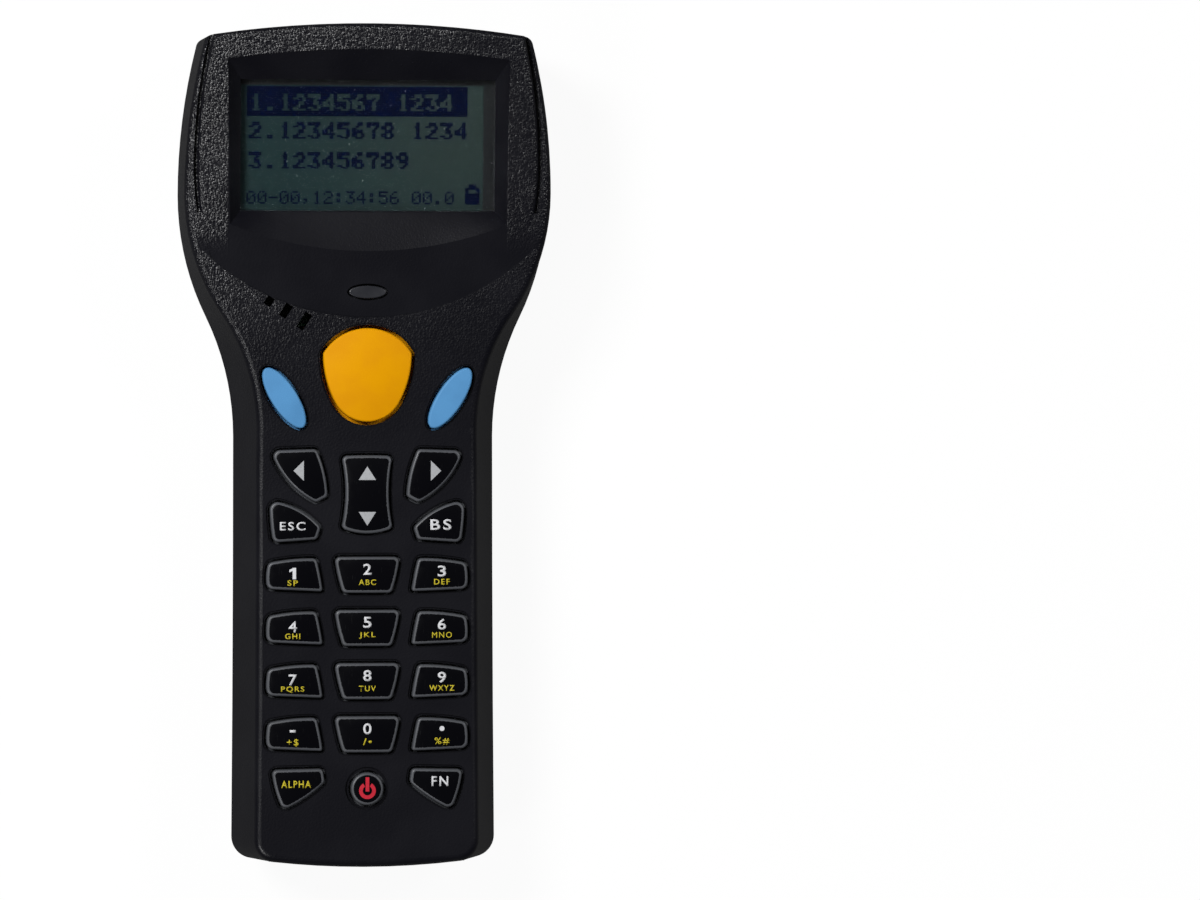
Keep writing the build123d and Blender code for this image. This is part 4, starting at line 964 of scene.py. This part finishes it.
@dataclass
class Keypad:
    """Painted tops and printed marks of the keys. Millimetres.

    For each column of keys, a lift places the digit above their middle, and a drop the letters.
    """

    top_slope: float = 0.93
    top_reach: float = 1.0
    rim: float = 0.36
    paint: float = 0.03
    ink: float = 0.055
    hover: float = 40.0
    row_pitch: float = 10.75
    first_row: float = -26.0
    column: float = 15.1
    lifts: Triple = (0.25, 1.1, 0.7)
    drops: Triple = (-1.68, -1.53, -1.45)
    sign_lift: float = 0.4
    digit_size: Pair = (1.7, 2.25)
    one_size: Pair = (1.35, 2.3)
    minus_size: Pair = (1.2, 0.5)
    point_size: Pair = (1.0, 1.0)
    four_stroke: float = 0.008
    weld: float = 0.001
    top_smooth: float = 35.0
    letters: dict[str, tuple] = field(default_factory=lambda: LETTERS)
    letter_space: float = 1.25
    letter_steps: int = 4
    letter_weld: float = 1e-5
    order: tuple[str, ...] = ("1", "2", "3", "4", "5", "6", "7", "8", "9", "minus", "0", "point")
    edge_keys: tuple[str, ...] = (
        "left", "right", "up_down", "escape", "backspace", "alpha", "power", "function",
    )

    def build(self) -> None:
        """Makes the tops, then prints them."""
        for name in self.edge_keys:
            self.top(f"{name}_key")
        for name in self.order:
            self.top(f"key_{name}")
        for mark in [*self.number_marks(), *self.other_marks()]:
            self.print_mark(mark)

    def top(self, node: str) -> None:
        """Black lacquer on the domed top of a key, inside its bare rim.

        Args:
            node: The key's CAD node.
        """
        key = frame["nodes"][node]
        take_up(key)
        bpy.ops.object.duplicate()
        top = bpy.context.object
        top.parent = None
        for mark in [name for name in top.keys() if name.startswith("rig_")]:
            del top[mark]
        to_mode("EDIT")
        pick_all("SELECT")
        bpy.ops.mesh.remove_doubles(threshold=self.weld * MM)
        to_mode("OBJECT")
        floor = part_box(node)[1].z - self.top_reach * MM

        def bare(face: Face) -> bool:
            """Whether a face is too steep or too low for the lacquer."""
            return face.normal.z < self.top_slope or face.center.z < floor

        select(top, "FACE", bare)
        cut_away()
        pick_all("SELECT")
        (left, low, _), (right, high, _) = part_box(node)
        inward = 2 * self.rim * MM
        shares = (1 - inward / (right - left), 1 - inward / (high - low), 1)
        middle = ((left + right) / 2, (low + high) / 2, 0)
        bpy.ops.transform.resize(value=shares, center_override=middle)
        bpy.ops.transform.translate(value=(0, 0, self.hover * MM))
        to_mode("OBJECT")
        self.lay_on(top, key, self.paint)
        bpy.ops.object.shade_smooth_by_angle(angle=radians(self.top_smooth))
        hand_over(top, f"{node}_top", f"{node}_body", Surface.KEY_TOP.value)

    @staticmethod
    def lay_on(film: Piece, ground: Piece, thickness: float) -> None:
        """Drops a hovering film onto a surface and gives it its thickness.

        Args:
            film: The film, above the surface.
            ground: What it is laid on.
            thickness: Its thickness.
        """
        down = {"use_negative_direction": True, "use_positive_direction": False}
        axis = {"wrap_method": "PROJECT", "use_project_z": True}
        modify(film, "SHRINKWRAP", target=ground, **axis, **down)
        modify(film, "SOLIDIFY", thickness=thickness * MM, offset=1)

    def number_marks(self) -> list[Mark]:
        """Digits and two signs in white, and letters and signs in yellow under them.

        Returns:
            Two marks for each key of the number block.
        """
        text, yellow = Shape.TEXT, Surface.YELLOW_INK
        marks = []
        for number, name in enumerate(self.order):
            row, column = divmod(number, 3)
            x, y = (column - 1) * self.column, self.first_row - row * self.row_pitch
            key = f"key_{name}"
            place = (x, y + self.lifts[column])
            sign_place = (x, place[1] + self.sign_lift)
            stroke = self.four_stroke if name == "4" else Mark.stroke
            size = self.digit_size
            digit = Mark(f"digit_{name}", key, text, place, size, text=name, stroke=stroke)
            special = {
                "minus": Mark("sign_minus", key, text, sign_place, self.minus_size, text="-"),
                "point": Mark("sign_point", key, Shape.DISC, sign_place, self.point_size),
                "1": Mark("digit_1", key, Shape.ONE, place, self.one_size),
            }
            word, wide, high, stroke = self.letters[name]
            below, size = (x, y + self.drops[column]), (wide, high)
            letters = Mark(f"letters_{name}", key, text, below, size, yellow, word, stroke=stroke)
            marks += [special.get(name, digit), letters]
        return marks

    def other_marks(self) -> list[Mark]:
        """Words, arrowheads and the power sign on the keys round the number block.

        Returns:
            A mark for each, with two on the rocker.
        """
        text, arrow = Shape.TEXT, Shape.TRIANGLE
        yellow, silver, red = Surface.YELLOW_INK, Surface.SILVER_INK, Surface.RED_INK
        return [
            Mark("word_escape", "escape_key", text, (-15.1, -16.2), (5.2, 1.75), text="ESC"),
            Mark("word_backspace", "backspace_key", text, (14.9, -15.9), (4.3, 2.2), text="BS"),
            Mark("word_alpha", "alpha_key", text, (-14.4, -68.3), (6.0, 1.45), yellow, "ALPHA"),
            Mark("word_function", "function_key", text, (14.7, -67.8), (3.4, 2.0), text="FN"),
            Mark("arrow_left", "left_key", arrow, (-13.9, -5.0), (2.1, 4.1), silver, turn=90),
            Mark("arrow_right", "right_key", arrow, (13.9, -5.0), (2.1, 4.1), silver, turn=-90),
            Mark("arrow_up", "up_down_key", arrow, (0, -5.5), (3.5, 2.75), silver),
            Mark("arrow_down", "up_down_key", arrow, (0, -14.7), (3.5, 2.75), silver, turn=180),
            Mark("power_sign", "power_key", Shape.POWER, (0, -69.15), (3.4, 4.4), red),
        ]

    def outline(self, mark: Mark) -> Piece:
        """Flat shape of a mark, of any size, in the plane of X and Y.

        Args:
            mark: What to draw.

        Returns:
            A new mesh object.
        """
        let_go()
        if mark.shape is Shape.TEXT:
            self.lettering(mark.text, mark.stroke)
        elif mark.shape is Shape.ONE:
            self.one()
        elif mark.shape is Shape.TRIANGLE:
            bpy.ops.mesh.primitive_circle_add(vertices=3, radius=1, fill_type="TRIFAN")
            to_mode("EDIT")
            bpy.ops.mesh.subdivide(number_cuts=4)
        elif mark.shape is Shape.DISC:
            bpy.ops.mesh.primitive_circle_add(vertices=24, radius=1, fill_type="NGON")
            to_mode("EDIT")
            bpy.ops.mesh.inset(thickness=0.3)
        else:
            self.power_ring()
        to_mode("OBJECT")
        return bpy.context.object

    def lettering(self, text: str, stroke: float) -> None:
        """Letters as a mesh, left in edit mode.

        Args:
            text: What they say.
            stroke: How far their outline is grown, as a share of the font's size.
        """
        bpy.ops.object.text_add()
        drawn = bpy.context.object
        drawn.data.body = text
        drawn.data.offset = stroke
        drawn.data.space_character = self.letter_space
        drawn.data.resolution_u = self.letter_steps
        bpy.ops.object.convert(target="MESH")
        to_mode("EDIT")
        pick_all("SELECT")
        bpy.ops.mesh.remove_doubles(threshold=self.letter_weld)

    @staticmethod
    def one() -> None:
        """A one, left in edit mode: a stem, and a slanted flag drawn out of its side."""
        half_stem, flag_low, flag_high = 0.13, 0.24, 0.46
        flag = (-0.24, -0.14, 0)
        bpy.ops.mesh.primitive_plane_add(size=1)
        stem = bpy.context.object
        stem.scale = (2 * half_stem, 1, 1)
        settle(stem)
        to_mode("EDIT")
        for cut in (flag_low, flag_high):
            pick_all("SELECT")
            bpy.ops.mesh.bisect(plane_co=(0, cut, 0), plane_no=(0, 1, 0))
        middle, near = (flag_low + flag_high) / 2, 0.01

        def at_side(edge: Edge) -> bool:
            """Whether an edge is the part of the stem's left side that the flag grows from."""
            start, end = (stem.data.vertices[number].co for number in edge.vertices)
            return max(start.x, end.x) < 0 and abs((start.y + end.y) / 2 - middle) < near

        select(stem, "EDGE", at_side)
        bpy.ops.mesh.extrude_region_move(TRANSFORM_OT_translate={"value": flag})

    @staticmethod
    def power_ring() -> None:
        """Ring with a gap at its top, and a bar that stands out of the gap, left in edit mode."""
        width, gap = 0.44, radians(30)
        bar_low, bar_high = -0.1, 1.6
        bpy.ops.mesh.primitive_circle_add(vertices=48, radius=1, fill_type="NGON")
        ring = bpy.context.object
        select(ring, "FACE", lambda face: True)
        bpy.ops.mesh.inset(thickness=width)
        cut_away()
        select(ring, "FACE", lambda face: face.center.y > hypot(*face.center.xy) * cos(gap))
        cut_away()
        middle = (0, (bar_low + bar_high) / 2, 0)
        bpy.ops.mesh.primitive_plane_add(size=1, location=middle)
        bpy.ops.transform.resize(value=(width, bar_high - bar_low, 1), center_override=middle)
        bpy.ops.mesh.subdivide(number_cuts=3)

    def print_mark(self, mark: Mark) -> None:
        """Prints a mark on the domed top of its key.

        Args:
            mark: What to print.
        """
        drawn = self.outline(mark)
        drawn.matrix_world = Matrix.Rotation(radians(mark.turn), 4, "Z")
        settle(drawn)
        spans = []
        for axis in range(2):
            along = [vertex.co[axis] for vertex in drawn.data.vertices]
            spans.append((min(along), max(along)))
        grow = [size * MM / (high - low) for size, (low, high) in zip(mark.size, spans)]
        shift = [
            middle * MM - scale * (low + high) / 2
            for middle, scale, (low, high) in zip(mark.middle, grow, spans)
        ]
        drawn.scale = (*grow, 1)
        drawn.location = (*shift, self.hover * MM)
        settle(drawn)
        self.lay_on(drawn, frame["nodes"][mark.key], self.paint + self.ink)
        hand_over(drawn, mark.name, f"{mark.key}_body", mark.ink.value)


@dataclass
class Studio:
    """White sweep, soft lamps and the camera. Metres."""

    floor_radius: float = 2.5
    floor_drop: float = 0.00002
    rim_steps: tuple[Pair, ...] = ((0.35, 0.08), (0.3, 0.25), (0.15, 0.4), (0.02, 0.6))
    paper: Finish = PaperSweep("matt_background_paper", "#484848", 0.9, ior=1.3)
    world_level: float = 0.012
    distance: float = 1.3
    lean: float = 3.75
    aim_height: float = 0.027
    pixels_per_mm: float = 4.94
    frame_width: int = 1200
    offset_pixels: Pair = (233.0, 4.0)
    sensor: float = 36.0
    clip_start: float = 0.05

    def build(self) -> None:
        """Sets up the view, the floor, the lamps and the camera."""
        bpy.context.scene.view_settings.view_transform = "Standard"
        self.floor()
        self.world()
        self.lamp("key_lamp", (-0.55, 0.4, 0.95), size=0.3, watts=9.5)
        self.lamp("side_lamp", (0.9, 0.5, 1.1), size=0.4, watts=5.0)
        self.lamp("front_lamp", (-0.8, -0.75, 1.2), size=0.5, watts=6.5)
        self.camera()

    def floor(self) -> None:
        """Wide white sweep: a flat disc whose rim curves up."""
        let_go()
        bpy.ops.mesh.primitive_circle_add(vertices=96, radius=self.floor_radius, fill_type="NGON")
        sweep = bpy.context.object
        sweep.location.z = -self.floor_drop
        settle(sweep)
        select(sweep, "FACE", lambda face: True)
        bpy.ops.mesh.inset(thickness=self.floor_radius / 3)
        pick_all("DESELECT")
        bpy.ops.mesh.select_mode(type="EDGE")
        bpy.ops.mesh.select_non_manifold(extend=False)
        radius = self.floor_radius
        for out, up in self.rim_steps:
            grown = (radius + out) / radius
            radius += out
            bpy.ops.mesh.extrude_region_move(TRANSFORM_OT_translate={"value": (0, 0, up)})
            bpy.ops.transform.resize(value=(grown, grown, 1), center_override=(0, 0, 0))
        to_mode("OBJECT")
        bpy.ops.object.shade_smooth()
        sweep.name = "studio_sweep"
        dress(sweep, self.paper)

    def world(self) -> None:
        """Dim surroundings, white where the camera sees them."""
        world = bpy.data.worlds.new("studio_world")
        bpy.context.scene.world = world
        world.use_nodes = True
        sky = Net(world.node_tree, world.node_tree.nodes["Background"])
        sky.shader.inputs["Color"].default_value = (1, 1, 1, 1)
        seen = sky.looked_at(PaperSweep.gloss_share)
        sky.give("Strength", sky.spread(seen, 0.0, 1.0, (self.world_level, 1.0)))

    def lamp(self, name: str, place: Triple, size: float, watts: float) -> None:
        """A soft square lamp that points at the terminal.

        Args:
            name: The lamp's name.
            place: Where it stands.
            size: Length of its side.
            watts: Its power.
        """
        let_go()
        towards = -Vector(place)
        turn = towards.to_track_quat("-Z", "Y").to_euler()
        bpy.ops.object.light_add(type="AREA", location=place, rotation=turn)
        light = bpy.context.object
        light.name = name
        light.data.size = size
        light.data.energy = watts

    def camera(self) -> None:
        """Long lens above the keys, with the terminal to the left of the frame."""
        lens_pixels = self.pixels_per_mm / MM * self.distance
        turn = radians(self.lean) + atan(self.offset_pixels[0] / lens_pixels)
        back = Vector((-sin(radians(self.lean)), 0, cos(radians(self.lean))))
        place = Vector((0, 0, self.aim_height)) + back * self.distance
        place.y -= self.offset_pixels[1] / self.pixels_per_mm * MM
        bpy.ops.object.camera_add(location=place, rotation=(0, -turn, 0))
        camera = bpy.context.object
        camera.name = "studio_camera"
        camera.data.sensor_width = self.sensor
        camera.data.lens = lens_pixels * self.sensor / self.frame_width
        camera.data.clip_start = self.clip_start
        bpy.context.scene.camera = camera


def main() -> None:
    """Builds the classes in order."""
    logging.basicConfig(level=logging.INFO, format="%(name)s %(message)s")
    Carried().build()
    Display().build()
    Keypad().build()
    Studio().build()
    let_go()
    LOG.info("boxes written")


if __name__ == "__main__":
    main()
